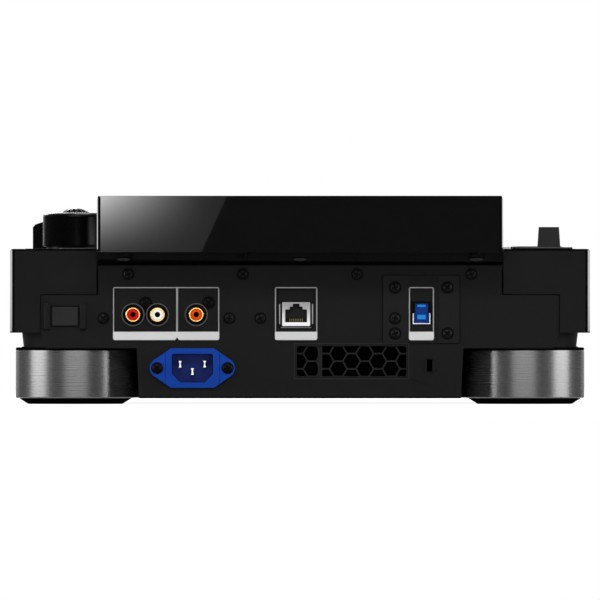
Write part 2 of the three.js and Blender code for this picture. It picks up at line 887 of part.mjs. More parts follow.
function boardBosses() {
  return [mainBoard, powerBoard].flatMap(({ left, right, front, rear }) => (
    bossPlaces(left + boardMargin, right - boardMargin, front + boardMargin, rear - boardMargin)
  )).map(([x, y]) => (
    upright(circle(x, y, bossRadius), bellyFloorTop - chassisWall / 2, boardHeight, smallSegments / 2)
  ));
}

function buildChassis() {
  const panBottom = skirtHeight;
  const panTop = skirtHeight + chassisWall;
  const middleY = (chassisFrontY + panRearY) / 2;
  const length = panRearY - chassisFrontY;
  const pan = upright(
    rectangle(0, middleY, 2 * chassisHalfWidth, length), panBottom, panTop + chassisRimHeight,
  );
  const panRoom = upright(
    rectangle(0, middleY, 2 * (chassisHalfWidth - chassisWall), length - 2 * chassisWall),
    panTop, panTop + chassisRimHeight + overrun,
  );
  const pedestals = footPlaces().map(({ x, y }) => pedestal(x, y, 0));
  const pedestalRooms = footPlaces().map(({ x, y }) => pedestal(x, y, chassisWall));
  const arcs = smallSegments / 2;
  const belly = upright(bellyOutline(0), bellyBottomHeight, bellyTopHeight + chassisWall / 2, arcs);
  const roomTop = bellyTopHeight + 2 * chassisWall;
  const bellyRoom = upright(bellyOutline(chassisWall), bellyFloorTop, roomTop, arcs);
  const rearMouth = block(
    -bellyWidth / 2 + chassisWall, bellyWidth / 2 - chassisWall,
    chassisRearY - overrun, chassisRearY + overrun, bellyFloorTop, bellyTopHeight + chassisWall,
  );
  const wideRoom = wideBody(chassisWall, bellyTopHeight + chassisWall, panTop + chassisWall);
  const rearOpening = block(
    -panelWideWidth / 2 + chassisWall, panelWideWidth / 2 - chassisWall,
    chassisRearY - overrun, chassisRearY + overrun, panTop, panTop + chassisRimHeight + overrun,
  );
  const outside = joined(pan, wideBody(0, bellyTopHeight, panBottom + chassisWall / 2), belly, ...pedestals);
  const hollow = cut(outside, panRoom, wideRoom, bellyRoom, rearMouth, rearOpening, ...pedestalRooms);
  addPiece("bottom_chassis", joined(hollow, ...boardBosses()), blackSteel);
}

function buildFeet() {
  footPlaces().forEach(({ name, x, y }) => {
    const seat = padTopRadius - padRecess;
    const ring = turned([
      [0, footBottomHeight + padRecess], [seat, footBottomHeight + padRecess], [seat, footBottomHeight],
      [footRadius - footEdge, footBottomHeight], [footRadius, footBottomHeight + footEdge],
      [footRadius, bellyTopHeight - footEdge], [footRadius - footEdge, bellyTopHeight], [0, bellyTopHeight],
    ], largeSegments / 2, x, y);
    addPiece(`foot_ring_${name}`, ring, footMetal);
    const spigot = seat - seatGap;
    const pad = turned([
      [0, 0], [padBottomRadius, 0], [padTopRadius, footBottomHeight - seatGap],
      [spigot, footBottomHeight - seatGap], [spigot, footBottomHeight + padRecess - seatGap],
      [0, footBottomHeight + padRecess - seatGap],
    ], largeSegments / 2, x, y);
    addPiece(`foot_pad_${name}`, pad, rubber);
  });
}

// Screen housing, in a section through Y and Z
function screenSection() {
  return [
    [screenFrontY, trayHeight], [rearY, trayHeight], [screenRearLowY, screenRearLowZ],
    [screenRearTopY, screenTopHeight], [screenFrontY, screenFrontZ],
  ];
}

// Turns a solid made flat at the origin into the screen's tilted plane.
function inScreenPlane(solid) {
  const degrees = THREE.MathUtils.radToDeg(tilt);
  return solid.rotate([degrees, 0, 0]).translate([0, screenFrontY, screenFrontZ]);
}

const glassMiddle = glassFrontMargin + glassLength / 2;

function screenKeys() {
  const pitch = glassWidth / screenKeyCount;
  const row = screenSlopeLength - screenKeyRowMargin;
  return Array.from({ length: screenKeyCount }, (_, index) => {
    const x = (index - (screenKeyCount - 1) / 2) * pitch;
    const outline = roundedRectangle(x, row, pitch - screenKeyGap, screenKeyLength, screenKeyCorner);
    return inScreenPlane(upright(outline, -screenWall / 2, screenKeyRise, cornerSegments, keyEdge));
  });
}

function buildScreen() {
  const half = screenWidth / 2;
  const shell = crosswise(polygon(screenSection()), -half, half, cornerSegments, screenEdgeBevel);
  const roomHalf = half - screenWall;
  const room = crosswise(polygon(insetConvex(screenSection(), screenWall)), -roomHalf, roomHalf);
  const seatWidth = glassWidth + 2 * seatGap;
  const seatLength = glassLength + 2 * seatGap;
  const seat = inScreenPlane(upright(
    roundedRectangle(0, glassMiddle, seatWidth, seatLength, screenKeyCorner + seatGap),
    -glassThickness - seatGap, overrun,
  ));
  const windowLength = glassLength - 2 * glassLedge;
  const window = inScreenPlane(upright(
    rectangle(0, glassMiddle, glassWidth - 2 * glassLedge, windowLength), -overrun, overrun,
  ));
  const body = joined(cut(shell, room), ...screenKeys());
  addPiece("screen_housing", cut(body, seat, window), glossBlack);

  const touchGlass = inScreenPlane(upright(
    roundedRectangle(0, glassMiddle, glassWidth, glassLength, screenKeyCorner), -glassThickness, 0,
  ));
  addPiece("screen_glass", touchGlass, glass);

  const panelTop = -screenWall - seatGap;
  const panelLength = glassLength - 2 * glassLedge + 2 * seatGap;
  const display = inScreenPlane(upright(
    rectangle(0, glassMiddle, glassWidth - glassLedge, panelLength), panelTop - displayThickness, panelTop,
  ));
  addPiece("display_panel", display, darkPlastic);
}

// Jog wheel
function buildJog() {
  const skirt = deckHeight + jogSkirtGap;
  const ringInner = jogRadius - jogRingWidth;
  const wall = jogShellThickness;
  const ringBlank = turned([
    [ringInner, jogTopHeight - wall], [jogRadius - wall, jogTopHeight - jogRingTopEdge - wall / 2],
    [jogRadius - wall, skirt], [jogRadius, skirt], [jogRadius, jogTopHeight - jogRingTopEdge],
    [jogRadius - jogRingTopEdge, jogTopHeight], [ringInner, jogTopHeight],
    [ringInner, jogTopHeight - wall],
  ], largeSegments, 0, jogY);
  const dimpleRise = jogDimpleRadius - jogDimpleDepth;
  const dimples = Array.from({ length: jogDimpleCount }, (_, index) => {
    const angle = (index / jogDimpleCount) * Math.PI * 2;
    const reach = jogRadius + dimpleRise / 2;
    const ball = new THREE.SphereGeometry(jogDimpleRadius, dimpleSegments, dimpleSegments);
    const x = Math.cos(angle) * reach;
    const y = jogY + Math.sin(angle) * reach;
    return solidOf(ball.translate(x, y, jogTopHeight + dimpleRise / 4));
  });
  addPiece("jog_ring", cut(ringBlank, ...dimples), blackPlastic);

  const plateOuter = ringInner - seatGap;
  const hubBore = jogPostRadius + seatGap;
  const hubOuter = hubBore + jogHubWall;
  const hubLow = jogWellFloor + jogBaseThickness + jogHubLift;
  const recessFloor = jogPostTop - jogHubLift;
  const carrierLow = jogTopHeight - 3 * wall;
  const carrierReach = jogRadius - 2 * wall;
  const platter = turned([
    [hubBore, hubLow], [hubOuter, hubLow], [hubOuter, recessFloor - wall],
    [jogInnerRadius + wall, recessFloor - wall], [jogInnerRadius + wall, carrierLow],
    [carrierReach, carrierLow], [carrierReach, carrierLow + wall / 2],
    [plateOuter, carrierLow + wall], [plateOuter, jogTopHeight], [jogInnerRadius, jogTopHeight],
    [jogInnerRadius, recessFloor], [hubBore, recessFloor], [hubBore, hubLow],
  ], largeSegments, 0, jogY);
  addPiece("jog_platter", platter, jogMetal);

  const base = jogWellFloor;
  const post = turned([
    [jogPostBore, base], [jogBaseRadius, base], [jogBaseRadius, base + jogBaseThickness],
    [jogPostRadius, base + jogBaseThickness], [jogPostRadius, jogPostTop],
    [jogPostBore, jogPostTop], [jogPostBore, base],
  ], middleSegments, 0, jogY);
  addPiece("jog_bearing_post", post, silverMetal);

  const displayTop = jogPostTop + jogDisplayThickness;
  const display = turned([
    [0, jogPostTop], [jogDisplayRadius, jogPostTop], [jogDisplayRadius, displayTop - jogDisplayCrown],
    [jogDisplayRadius - jogDisplayCrown, displayTop], [0, displayTop + jogDisplayCrown],
  ], largeSegments / 2, 0, jogY);
  addPiece("jog_display", display, glass);
}

// Ribbed grip outline: the radius dips between ribs
function ribbedOutline(x, y, radius, ribs, dip) {
  const steps = ribs * 2;
  const points = Array.from({ length: steps }, (_, index) => {
    const reach = index % 2 === 0 ? radius : radius - dip;
    const angle = (index / steps) * Math.PI * 2;
    return [x + Math.cos(angle) * reach, y + Math.sin(angle) * reach];
  });
  return polygon(points);
}

function buildSelector() {
  const x = selectorX;
  const y = selectorY;
  const encoder = block(
    x - encoderSize / 2, x + encoderSize / 2, y - encoderSize / 2, y + encoderSize / 2,
    deckUnderside - encoderHeight, deckUnderside,
  );
  const shaftTop = deckHeight + shaftReach;
  const shaftLow = deckUnderside - encoderHeight / 2;
  const boreOutline = circle(x, y, shaftRadius + seatGap);
  const bore = upright(boreOutline, shaftLow - seatGap, deckHeight, smallSegments);
  addPiece("selector_encoder", cut(encoder, bore), silverMetal);
  const shaft = upright(circle(x, y, shaftRadius), shaftLow, shaftTop, smallSegments);
  addPiece("selector_shaft", shaft, silverMetal);

  const top = selectorTopHeight;
  const body = turned([
    [0, selectorBottom], [selectorRadius - selectorEdge / 2, selectorBottom],
    [selectorRadius, selectorBottom + selectorEdge / 2], [selectorRadius, top - selectorEdge],
    [selectorRadius - selectorEdge / 3, top - selectorEdge / 3], [selectorRadius - selectorEdge, top],
    [0, top],
  ], middleSegments, x, y);
  const gripOutline = ribbedOutline(x, y, selectorGripRadius, selectorGripRibs, knobRibDepth);
  const rise = selectorGripHeight;
  const grip = upright(gripOutline, top - rise, top + rise, cornerSegments, rise / 2);
  const roomTop = shaftTop + selectorTravel + seatGap;
  const shaftRoom = upright(boreOutline, selectorBottom - overrun, roomTop, smallSegments);
  addPiece("selector_knob", cut(body.add(grip), shaftRoom), blackPlastic);
}

function buildKnobs() {
  knobs.forEach(({ name, x, y }) => {
    const low = deckHeight + knobLift;
    const top = low + knobHeight;
    const outline = ribbedOutline(x, y, knobRadius, knobRibs, knobRibDepth);
    const body = upright(outline, low, top, cornerSegments, knobEdge);
    const stem = upright(circle(x, y, shaftRadius), deckUnderside, low + knobEdge * 2, smallSegments);
    const pointer = block(
      x - knobPointerWidth / 2, x + knobPointerWidth / 2, y, y + knobRadius + overrun,
      top - knobPointerDepth, top + overrun,
    );
    addPiece(name, cut(body.add(stem), pointer), blackPlastic);
  });
}

// Tempo slider: a waisted cap on a thin stem that runs in a slotted body under the deck
function buildSlider() {
  const half = sliderCapWidth / 2;
  const topHalf = sliderCapTopWidth / 2;
  const low = deckHeight + sliderCapLift;
  const side = polygon([
    [sliderX - half, low], [sliderX + half, low], [sliderX + half, sliderCapShoulderHeight],
    [sliderX + topHalf, sliderCapTopHeight], [sliderX - topHalf, sliderCapTopHeight],
    [sliderX - half, sliderCapShoulderHeight],
  ]);
  const front = sliderY - sliderCapLength / 2;
  const rear = sliderY + sliderCapLength / 2;
  const waist = sliderCapLength / 2;
  const cap = lengthwise(side, front, rear, cornerSegments, keyEdge);
  const scoop = new THREE.CylinderGeometry(waist, waist, sliderCapWidth * 2, smallSegments);
  scoop.rotateZ(Math.PI / 2);
  const scoopRise = sliderCapTopHeight + waist - sliderCapGroove;
  const grip = solidOf(scoop.translate(sliderX, sliderY, scoopRise));
  const stem = block(
    sliderX - sliderStemWidth / 2, sliderX + sliderStemWidth / 2,
    sliderY - sliderStemLength / 2, sliderY + sliderStemLength / 2,
    deckUnderside - sliderBodyHeight / 2, low + keyEdge * 2,
  );
  addPiece("tempo_slider_knob", cut(cap, grip).add(stem), blackPlastic);

  const bodyHalf = sliderBodyWidth / 2;
  const bodyReach = sliderSlotLength / 2 + sliderBodyExtra;
  const bodyLow = deckUnderside - sliderBodyHeight;
  const body = block(
    sliderX - bodyHalf, sliderX + bodyHalf, sliderY - bodyReach, sliderY + bodyReach,
    bodyLow, deckUnderside,
  );
  const track = block(
    sliderX - bodyHalf + sliderBodyWall * 2, sliderX + bodyHalf - sliderBodyWall * 2,
    sliderY - sliderSlotLength / 2, sliderY + sliderSlotLength / 2,
    bodyLow + sliderBodyWall, deckUnderside - sliderBodyWall,
  );
  const slot = block(
    sliderX - sliderSlotWidth / 2, sliderX + sliderSlotWidth / 2,
    sliderY - sliderSlotLength / 2, sliderY + sliderSlotLength / 2,
    bodyLow + sliderBodyWall, deckUnderside + overrun,
  );
  addPiece("tempo_slider_body", cut(body, track, slot), silverMetal);
}

// Direction lever: a tapered paddle on a stem with a cross pin below the deck
function buildLever() {
  const low = deckHeight;
  const front = polygon([
    [-leverX - leverBottomWidth / 2, low], [-leverX + leverBottomWidth / 2, low],
    [-leverX + leverTopWidth / 2, leverTopHeight], [-leverX - leverTopWidth / 2, leverTopHeight],
  ]);
  const side = polygon([
    [leverY - leverBottomLength / 2, low], [leverY + leverBottomLength / 2, low],
    [leverY + leverTopLength / 2, leverTopHeight], [leverY - leverTopLength / 2, leverTopHeight],
  ]);
  const across = leverBottomWidth / 2 + overrun;
  const along = leverBottomLength / 2 + overrun;
  const frontForm = lengthwise(front, leverY - along, leverY + along);
  const sideForm = crosswise(side, -leverX - across, -leverX + across);
  const rounding = upright(
    roundedRectangle(-leverX, leverY, leverBottomWidth, leverBottomLength, leverEdge * 2),
    low, leverTopHeight, cornerSegments, leverEdge / 2,
  );
  const paddle = frontForm.intersect(sideForm).intersect(rounding);
  const stem = block(
    -leverX - leverStemWidth / 2, -leverX + leverStemWidth / 2,
    leverY - leverStemLength / 2, leverY + leverStemLength / 2, leverPivotZ, low + leverEdge,
  );
  const pinHalf = leverStemWidth / 2;
  const pinOutline = circle(leverY, leverPivotZ, leverPivotRadius);
  const pin = crosswise(pinOutline, -leverX - pinHalf, -leverX + pinHalf, smallSegments);
  addPiece("direction_lever", joined(paddle, stem, pin), darkPlastic);
}

// Media module: a plate on the deck with a body that hangs through it
function buildMediaModule() {
  const middleY = moduleFrontY + moduleLength / 2;
  const plate = upright(
    roundedRectangle(moduleX, middleY, moduleWidth, moduleLength, smallKeyCorner), deckHeight, moduleTop,
  );
  const body = upright(
    rectangle(moduleX, middleY, moduleWidth - 2 * modulePlateBorder, moduleLength - 2 * modulePlateBorder),
    moduleTop - moduleDepth, moduleTop - modulePlateRise / 2,
  );
  const usbRoom = upright(
    rectangle(moduleX, usbSlotY, usbSlotWidth, usbSlotLength), moduleTop - usbSlotDepth, moduleTop + overrun,
  );
  const tongue = upright(
    rectangle(moduleX, usbSlotY, usbTongueWidth, usbTongueLength),
    moduleTop - usbSlotDepth - seatGap, moduleTop - modulePlateRise,
  );
  const doorSeat = upright(
    rectangle(moduleX, doorY, doorWidth + 2 * seatGap, doorLength + 2 * seatGap),
    moduleTop - doorThickness - seatGap, moduleTop + overrun,
  );
  const pocket = upright(
    rectangle(moduleX, doorY, doorWidth - 2 * doorPocketMargin, doorLength - 2 * doorPocketMargin),
    moduleTop - doorPocketDepth, moduleTop + overrun,
  );
  const cardSlot = upright(
    rectangle(moduleX, doorY, cardSlotWidth, cardSlotLength),
    moduleTop - doorPocketDepth - cardSlotDepth, moduleTop,
  );
  const module = cut(joined(plate, body), usbRoom, doorSeat, pocket, cardSlot).add(tongue);
  addPiece("media_module", module, darkPlastic);

  const door = upright(
    roundedRectangle(moduleX, doorY, doorWidth, doorLength, doorThickness / 2),
    moduleTop - doorThickness, moduleTop,
  );
  const notch = upright(
    rectangle(moduleX, doorY - doorLength / 2, doorNotchWidth, doorNotchDepth * 2),
    moduleTop - doorThickness - overrun, moduleTop + overrun,
  );
  addPiece("memory_card_door", cut(door, notch), blackPlastic);
}

// Rear panel with its cut-outs
function panelOutline() {
  const top = trayHeight - seatGap;
  const wide = panelWideWidth / 2;
  const slant = panelSlantWidth / 2;
  const belly = bellyWidth / 2;
  return polygon([
    [-belly, bellyBottomHeight], [belly, bellyBottomHeight], [belly + bellyDraft, bellyTopHeight],
    [slant, bellyTopHeight], [wide, skirtHeight], [wide, panelStepHeight],
    [panelTopWidth / 2, panelStepHeight], [panelTopWidth / 2, top], [-panelTopWidth / 2, top],
    [-panelTopWidth / 2, panelStepHeight], [-wide, panelStepHeight], [-wide, skirtHeight],
    [-slant, bellyTopHeight], [-belly - bellyDraft, bellyTopHeight],
  ]);
}

function buildRearPanel() {
  const gap = 2 * seatGap;
  const margin = 2 * usbPlateOpeningMargin;
  const openings = [
    ...[jackPairInnerX, jackPairOuterX, jackDigitalX].map((x) => circle(x, jackHeight, jackHoleRadius)),
    rectangle(inletX, inletHeight, inletBodyWidth + gap, inletBodyTall + gap),
    rectangle(lanX, lanHeight, lanWidth + gap, lanTall + gap),
    rectangle(usbBX, usbBHeight, usbBWidth + margin, usbBTall + margin),
    roundedRectangle(ventX, ventHeight, ventWidth, ventTall, ventCorner),
    rectangle(lockX, lockHeight, lockWidth, lockTall),
    rectangle(powerX, powerHeight, powerWidth + 2 * keyGap, powerTall + 2 * keyGap),
  ].map((shape) => (
    lengthwise(shape, panelInnerY - overrun, panelOuterY + overrun, smallSegments / 2)
  ));
  const sheet = cut(lengthwise(panelOutline(), panelInnerY, panelOuterY), ...openings);
  const guards = [-1, 1].map((side) => {
    const x = powerX + side * (powerWidth / 2 + guardMargin + guardWidth / 2);
    const shape = roundedRectangle(x, powerHeight, guardWidth, guardTall, guardMargin);
    return lengthwise(shape, panelInnerY, panelOuterY + guardStandOut, cornerSegments, guardMargin / 2);
  });
  addPiece("rear_panel", joined(sheet, ...guards), blackSteel);
}

function buildPowerButton() {
  const front = panelOuterY + powerStandOut;
  const flangeRear = panelInnerY - seatGap;
  const cap = lengthwise(
    roundedRectangle(powerX, powerHeight, powerWidth, powerTall, keyEdge * 2),
    flangeRear - powerDepth, front, cornerSegments, keyEdge,
  );
  const flange = lengthwise(
    rectangle(powerX, powerHeight, powerWidth + 2 * powerFlange, powerTall + 2 * powerFlange),
    flangeRear - powerFlange, flangeRear,
  );
  addPiece("power_button", cap.add(flange), darkPlastic);
}

// Phono sockets: a block behind the panel and round shells that stand out of it
function phonoBlock(name, centres) {
  const left = Math.min(...centres) - jackBlockMargin;
  const right = Math.max(...centres) + jackBlockMargin;
  const body = block(
    left, right, panelInnerY - jackBlockDepth, panelInnerY,
    jackHeight - jackBlockTall / 2, jackHeight + jackBlockTall / 2,
  );
  const tip = panelOuterY + jackStandOut;
  const shells = centres.map((x) => (
    lengthwise(circle(x, jackHeight, jackShellRadius), panelInnerY - overrun, tip, smallSegments)
  ));
  const bores = centres.map((x) => (
    lengthwise(circle(x, jackHeight, jackBoreRadius), tip - jackBoreDepth, tip + overrun, smallSegments)
  ));
  addPiece(name, cut(joined(body, ...shells), ...bores), goldShell);
}

function buildInlet() {
  const flangeRear = panelOuterY + inletFlangeThickness;
  const endX = inletFlangeWidth / 2 - inletEndRadius;
  const middle = inletMiddleWidth / 2;
  const tall = inletFlangeTall / 2;
  const low = inletHeight - tall;
  const high = inletHeight + tall;
  const shape = new THREE.Shape();
  shape.moveTo(inletX - middle, low);
  shape.lineTo(inletX + middle, low);
  shape.absarc(inletX + endX, inletHeight, inletEndRadius, -Math.PI / 3, Math.PI / 3, false);
  shape.lineTo(inletX + middle, high);
  shape.lineTo(inletX - middle, high);
  shape.absarc(inletX - endX, inletHeight, inletEndRadius, Math.PI * 2 / 3, Math.PI * 4 / 3, false);
  shape.closePath();
  const flange = lengthwise(shape, panelOuterY, flangeRear, smallSegments / 2);
  const body = lengthwise(
    rectangle(inletX, inletHeight, inletBodyWidth, inletBodyTall), panelOuterY - inletBodyDepth, flangeRear,
  );
  const mouthHalf = inletMouthWidth / 2;
  const mouthLow = inletHeight - inletMouthTall / 2;
  const mouthHigh = inletHeight + inletMouthTall / 2;
  const floorY = flangeRear - inletMouthDepth;
  const mouth = lengthwise(polygon([
    [inletX - mouthHalf + inletMouthChamfer, mouthLow], [inletX + mouthHalf - inletMouthChamfer, mouthLow],
    [inletX + mouthHalf, mouthLow + inletMouthChamfer], [inletX + mouthHalf, mouthHigh],
    [inletX - mouthHalf, mouthHigh], [inletX - mouthHalf, mouthLow + inletMouthChamfer],
  ]), floorY, flangeRear + overrun);
  const pin = (x, z) => lengthwise(
    rectangle(x, z, inletPinWidth, inletPinTall), floorY - seatGap, floorY + inletPinReach,
  );
  const pins = [
    pin(inletX - inletPinSpacing / 2, inletHeight + inletPinRaise),
    pin(inletX + inletPinSpacing / 2, inletHeight + inletPinRaise),
    pin(inletX, inletHeight - inletEarthDrop),
  ];
  addPiece("mains_inlet", joined(cut(joined(flange, body), mouth), ...pins), blueInlet);
}

function buildLanSocket() {
  const body = lengthwise(
    rectangle(lanX, lanHeight, lanWidth, lanTall), panelOuterY - lanBodyDepth, panelOuterY + seatGap,
  );
  const low = lanHeight - lanMouthDrop - lanMouthTall / 2 - lanStepTall / 2;
  const high = low + lanMouthTall;
  const half = lanMouthWidth / 2;
  const step = lanStepWidth / 2;
  const notch = lanNotchWidth / 2;
  const mouth = lengthwise(polygon([
    [lanX - half, low], [lanX + half, low], [lanX + half, high], [lanX + step, high],
    [lanX + step, high + lanStepTall], [lanX + notch, high + lanStepTall],
    [lanX + notch, high + 2 * lanStepTall], [lanX - notch, high + 2 * lanStepTall],
    [lanX - notch, high + lanStepTall], [lanX - step, high + lanStepTall],
    [lanX - step, high], [lanX - half, high],
  ]), panelOuterY - lanMouthDepth, panelOuterY + overrun);
  addPiece("network_socket", cut(body, mouth), silverMetal);
}

function buildUsbSocket() {
  const plateRear = panelOuterY + usbPlateThickness;
  const tip = plateRear + seatGap;
  const body = lengthwise(
    rectangle(usbBX, usbBHeight, usbBWidth, usbBTall), panelOuterY - usbBBodyDepth, tip,
  );
  const floorY = tip - usbBMouthDepth;
  const upperZ = usbBHeight + usbBUpperTall / 2;
  const lowerZ = usbBHeight - usbBLowerTall / 2;
  const rooms = [
    lengthwise(rectangle(usbBX, upperZ, usbBUpperWidth, usbBUpperTall), floorY, tip + overrun),
    lengthwise(rectangle(usbBX, lowerZ, usbBLowerWidth, usbBLowerTall + seatGap), floorY, tip + overrun),
  ];
  const tongueTip = tip - usbPlateThickness;
  const tongues = [upperZ + usbBTongueTall / 2, lowerZ].map((z) => lengthwise(
    rectangle(usbBX, z, usbBTongueWidth, usbBTongueTall), floorY - seatGap, tongueTip,
  ));
  addPiece("computer_socket", joined(cut(body, ...rooms), ...tongues), blueInlet);

  const gap = 2 * seatGap;
  const plate = lengthwise(
    roundedRectangle(usbPlateX, usbPlateHeight, usbPlateWidth, usbPlateTall, usbPlateCorner),
    panelOuterY, plateRear,
  );
  const opening = lengthwise(
    rectangle(usbBX, usbBHeight, usbBWidth + gap, usbBTall + gap), panelOuterY - overrun, tip + overrun,
  );
  addPiece("usb_plate", cut(plate, opening), blackSteel);
}

// Honeycomb vent: flat-topped cells in staggered columns, behind the panel's opening
function ventCells() {
  const cellHalf = (ventRowPitch - ventWebThickness) / 2;
  const corner = cellHalf / Math.cos(Math.PI / ventCellSides);
  const limit = ventTall / 2;
  const columns = Math.floor(ventWidth / ventColumnPitch);
  const cells = [];
  for (let column = 0; column < columns; column += 1) {
    const x = ventX + (column - (columns - 1) / 2) * ventColumnPitch;
    const shift = column % 2 === 0 ? 0 : ventRowPitch / 2;
    for (let row = -1; row <= 1; row += 1) {
      const z = ventHeight + shift + (row - 1 / 4) * ventRowPitch;
      if (Math.abs(z - ventHeight) + cellHalf / 2 < limit) {
        const points = Array.from({ length: ventCellSides }, (_, index) => {
          const angle = (index / ventCellSides) * Math.PI * 2;
          const px = x + Math.cos(angle) * corner;
          const pz = z + Math.sin(angle) * corner;
          return [px, THREE.MathUtils.clamp(pz, ventHeight - limit, ventHeight + limit)];
        });
        cells.push(polygon(points));
      }
    }
  }
  return cells;
}

function buildVent() {
  const width = ventWidth + 2 * ventRimThickness;
  const tall = ventTall + 2 * ventRimThickness;
  const meshFront = panelInnerY - ventRimDepth - ventPlateThickness;
  const meshRear = meshFront + ventPlateThickness;
  const body = lengthwise(rectangle(ventX, ventHeight, width, tall), meshFront, panelInnerY);
  const room = lengthwise(
    rectangle(ventX, ventHeight, ventWidth, ventTall), meshRear, panelInnerY + overrun,
  );
  const cells = ventCells().map((cell) => lengthwise(cell, meshFront - overrun, meshRear + overrun));
  addPiece("vent_grille", cut(body, room, ...cells), darkPlastic);
}

// Boards on the chassis floor
function buildBoards() {
  const top = boardHeight + boardThickness;
  const board = ({ left, right, front, rear }) => block(left, right, front, rear, boardHeight, top);
  const middleX = (mainBoard.left + mainBoard.right) / 2;
  const middleY = (mainBoard.front + mainBoard.rear) / 2;
  const chip = block(
    middleX - chipSize / 2, middleX + chipSize / 2, middleY - chipSize / 2, middleY + chipSize / 2,
    top - boardThickness / 2, top + chipHeight,
  );
  const heatsinkWidth = mainBoardWidth * heatsinkWidthShare;
  const finPitch = heatsinkWidth / heatsinkFins;
  const sinkX = middleX + heatsinkWidth;
  const sinkTop = top + heatsinkHeight;
  const sinkBase = block(
    sinkX - heatsinkWidth / 2, sinkX + heatsinkWidth / 2, middleY - heatsinkWidth / 2,
    middleY + heatsinkWidth / 2, top - boardThickness / 2, top + chipHeight,
  );
  const fins = Array.from({ length: heatsinkFins }, (_, index) => {
    const x = sinkX + (index - (heatsinkFins - 1) / 2) * finPitch;
    return block(
      x - heatsinkFinThickness / 2, x + heatsinkFinThickness / 2, middleY - heatsinkWidth / 2,
      middleY + heatsinkWidth / 2, top, sinkTop,
    );
  });
  addPiece("main_board", joined(board(mainBoard), chip, sinkBase, ...fins), boardGreen);

  const transformerSize = powerBoardWidth * transformerWidthShare;
  const capacitorPitch = 2 * capacitorRadius + capacitorGap;
  const coreX = powerBoard.left + transformerSize;
  const coreY = (powerBoard.front + powerBoard.rear) / 2;
  const transformer = block(
    coreX - transformerSize / 2, coreX + transformerSize / 2, coreY - transformerSize / 2,
    coreY + transformerSize / 2, top - boardThickness / 2, top + transformerHeight,
  );
  const capacitors = [0, 1].map((index) => upright(
    circle(coreX + transformerSize + index * capacitorPitch, coreY, capacitorRadius),
    top - boardThickness / 2, top + capacitorHeight, smallSegments,
  ));
  addPiece("power_supply_board", joined(board(powerBoard), transformer, ...capacitors), boardGreen);
}

buildTopCase();
buildChassis();
buildRearPanel();
buildFeet();
buildScreen();
buildJog();
keys.forEach((key) => addPiece(key.name, keySolid(key), key.material));
buildSelector();
buildKnobs();
buildSlider();
buildLever();
buildMediaModule();
buildPowerButton();
phonoBlock("audio_sockets", [jackPairInnerX, jackPairOuterX]);
phonoBlock("digital_socket", [jackDigitalX]);
buildInlet();
buildLanSocket();
buildUsbSocket();
buildVent();
buildBoards();

export default deck;
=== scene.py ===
"""Dresses the tabletop deck: visible pieces, finishes, studio light and camera.

Sizes are in millimetres of the deck's own frame, +X to the user's right, +Y to the rear, +Z up.
"""

from __future__ import annotations

import logging
import math
from collections.abc import Callable, Iterable, Sequence
from dataclasses import dataclass
from enum import Enum
from typing import Any

import bpy
from mathutils import Matrix, Vector


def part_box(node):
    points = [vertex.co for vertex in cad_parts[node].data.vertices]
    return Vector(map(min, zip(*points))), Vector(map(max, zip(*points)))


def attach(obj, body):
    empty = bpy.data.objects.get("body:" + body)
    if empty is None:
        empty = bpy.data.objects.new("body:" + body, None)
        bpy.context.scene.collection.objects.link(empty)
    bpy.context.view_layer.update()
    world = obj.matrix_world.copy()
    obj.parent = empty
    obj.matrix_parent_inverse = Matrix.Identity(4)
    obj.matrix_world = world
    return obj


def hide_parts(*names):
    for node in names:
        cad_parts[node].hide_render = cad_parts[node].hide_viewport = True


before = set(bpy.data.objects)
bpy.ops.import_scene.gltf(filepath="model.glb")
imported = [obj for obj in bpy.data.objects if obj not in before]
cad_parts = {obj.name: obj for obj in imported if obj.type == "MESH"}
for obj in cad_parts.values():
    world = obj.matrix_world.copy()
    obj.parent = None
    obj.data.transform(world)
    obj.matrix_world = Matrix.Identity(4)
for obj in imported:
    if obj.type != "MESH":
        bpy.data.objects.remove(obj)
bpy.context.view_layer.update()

LOG = logging.getLogger("deck")
MM = 0.001
MERGE_GAP = 1e-6
NODE_GAP = 2e-6
FLAT_ANGLE = math.radians(0.6)
EVEN_ANGLE = math.radians(1.0)
PANEL_FACE = 191.5
SCREEN_TILT = 12.0
SIDES = (("left", -1), ("right", 1))
WHITE_LIGHT = (1, 1, 1, 1)
Point = tuple[float, float]
Place = tuple[float, float, float]
Colour = tuple[float, float, float]


class Part(Enum):
    """What a selection is made of."""

    POINTS = "VERT"
    EDGES = "EDGE"
    FACES = "FACE"


class Facing(Enum):
    """The way that a turned or raised piece points."""

    UP = 0.0
    REAR = -90.0
    DOWN = 180.0
    SIDE = 360.0

    def turn(self) -> Matrix:
        """Returns: the turn about X that points an upright piece this way."""
        return Matrix.Rotation(math.radians(self.value), 4, "X")

    def lay(self, across: float, along: float, level: float) -> Place:
        """Lays a point of an outline out in space.

        Args:
            across: its first measure.
            along: its second measure.
            level: how far the outline is raised.

        Returns:
            The place.
        """
        places = {
            Facing.UP: (across, along, level),
            Facing.REAR: (across, level, along),
            Facing.SIDE: (level, across, along),
        }
        return places[self]


# Shader maths


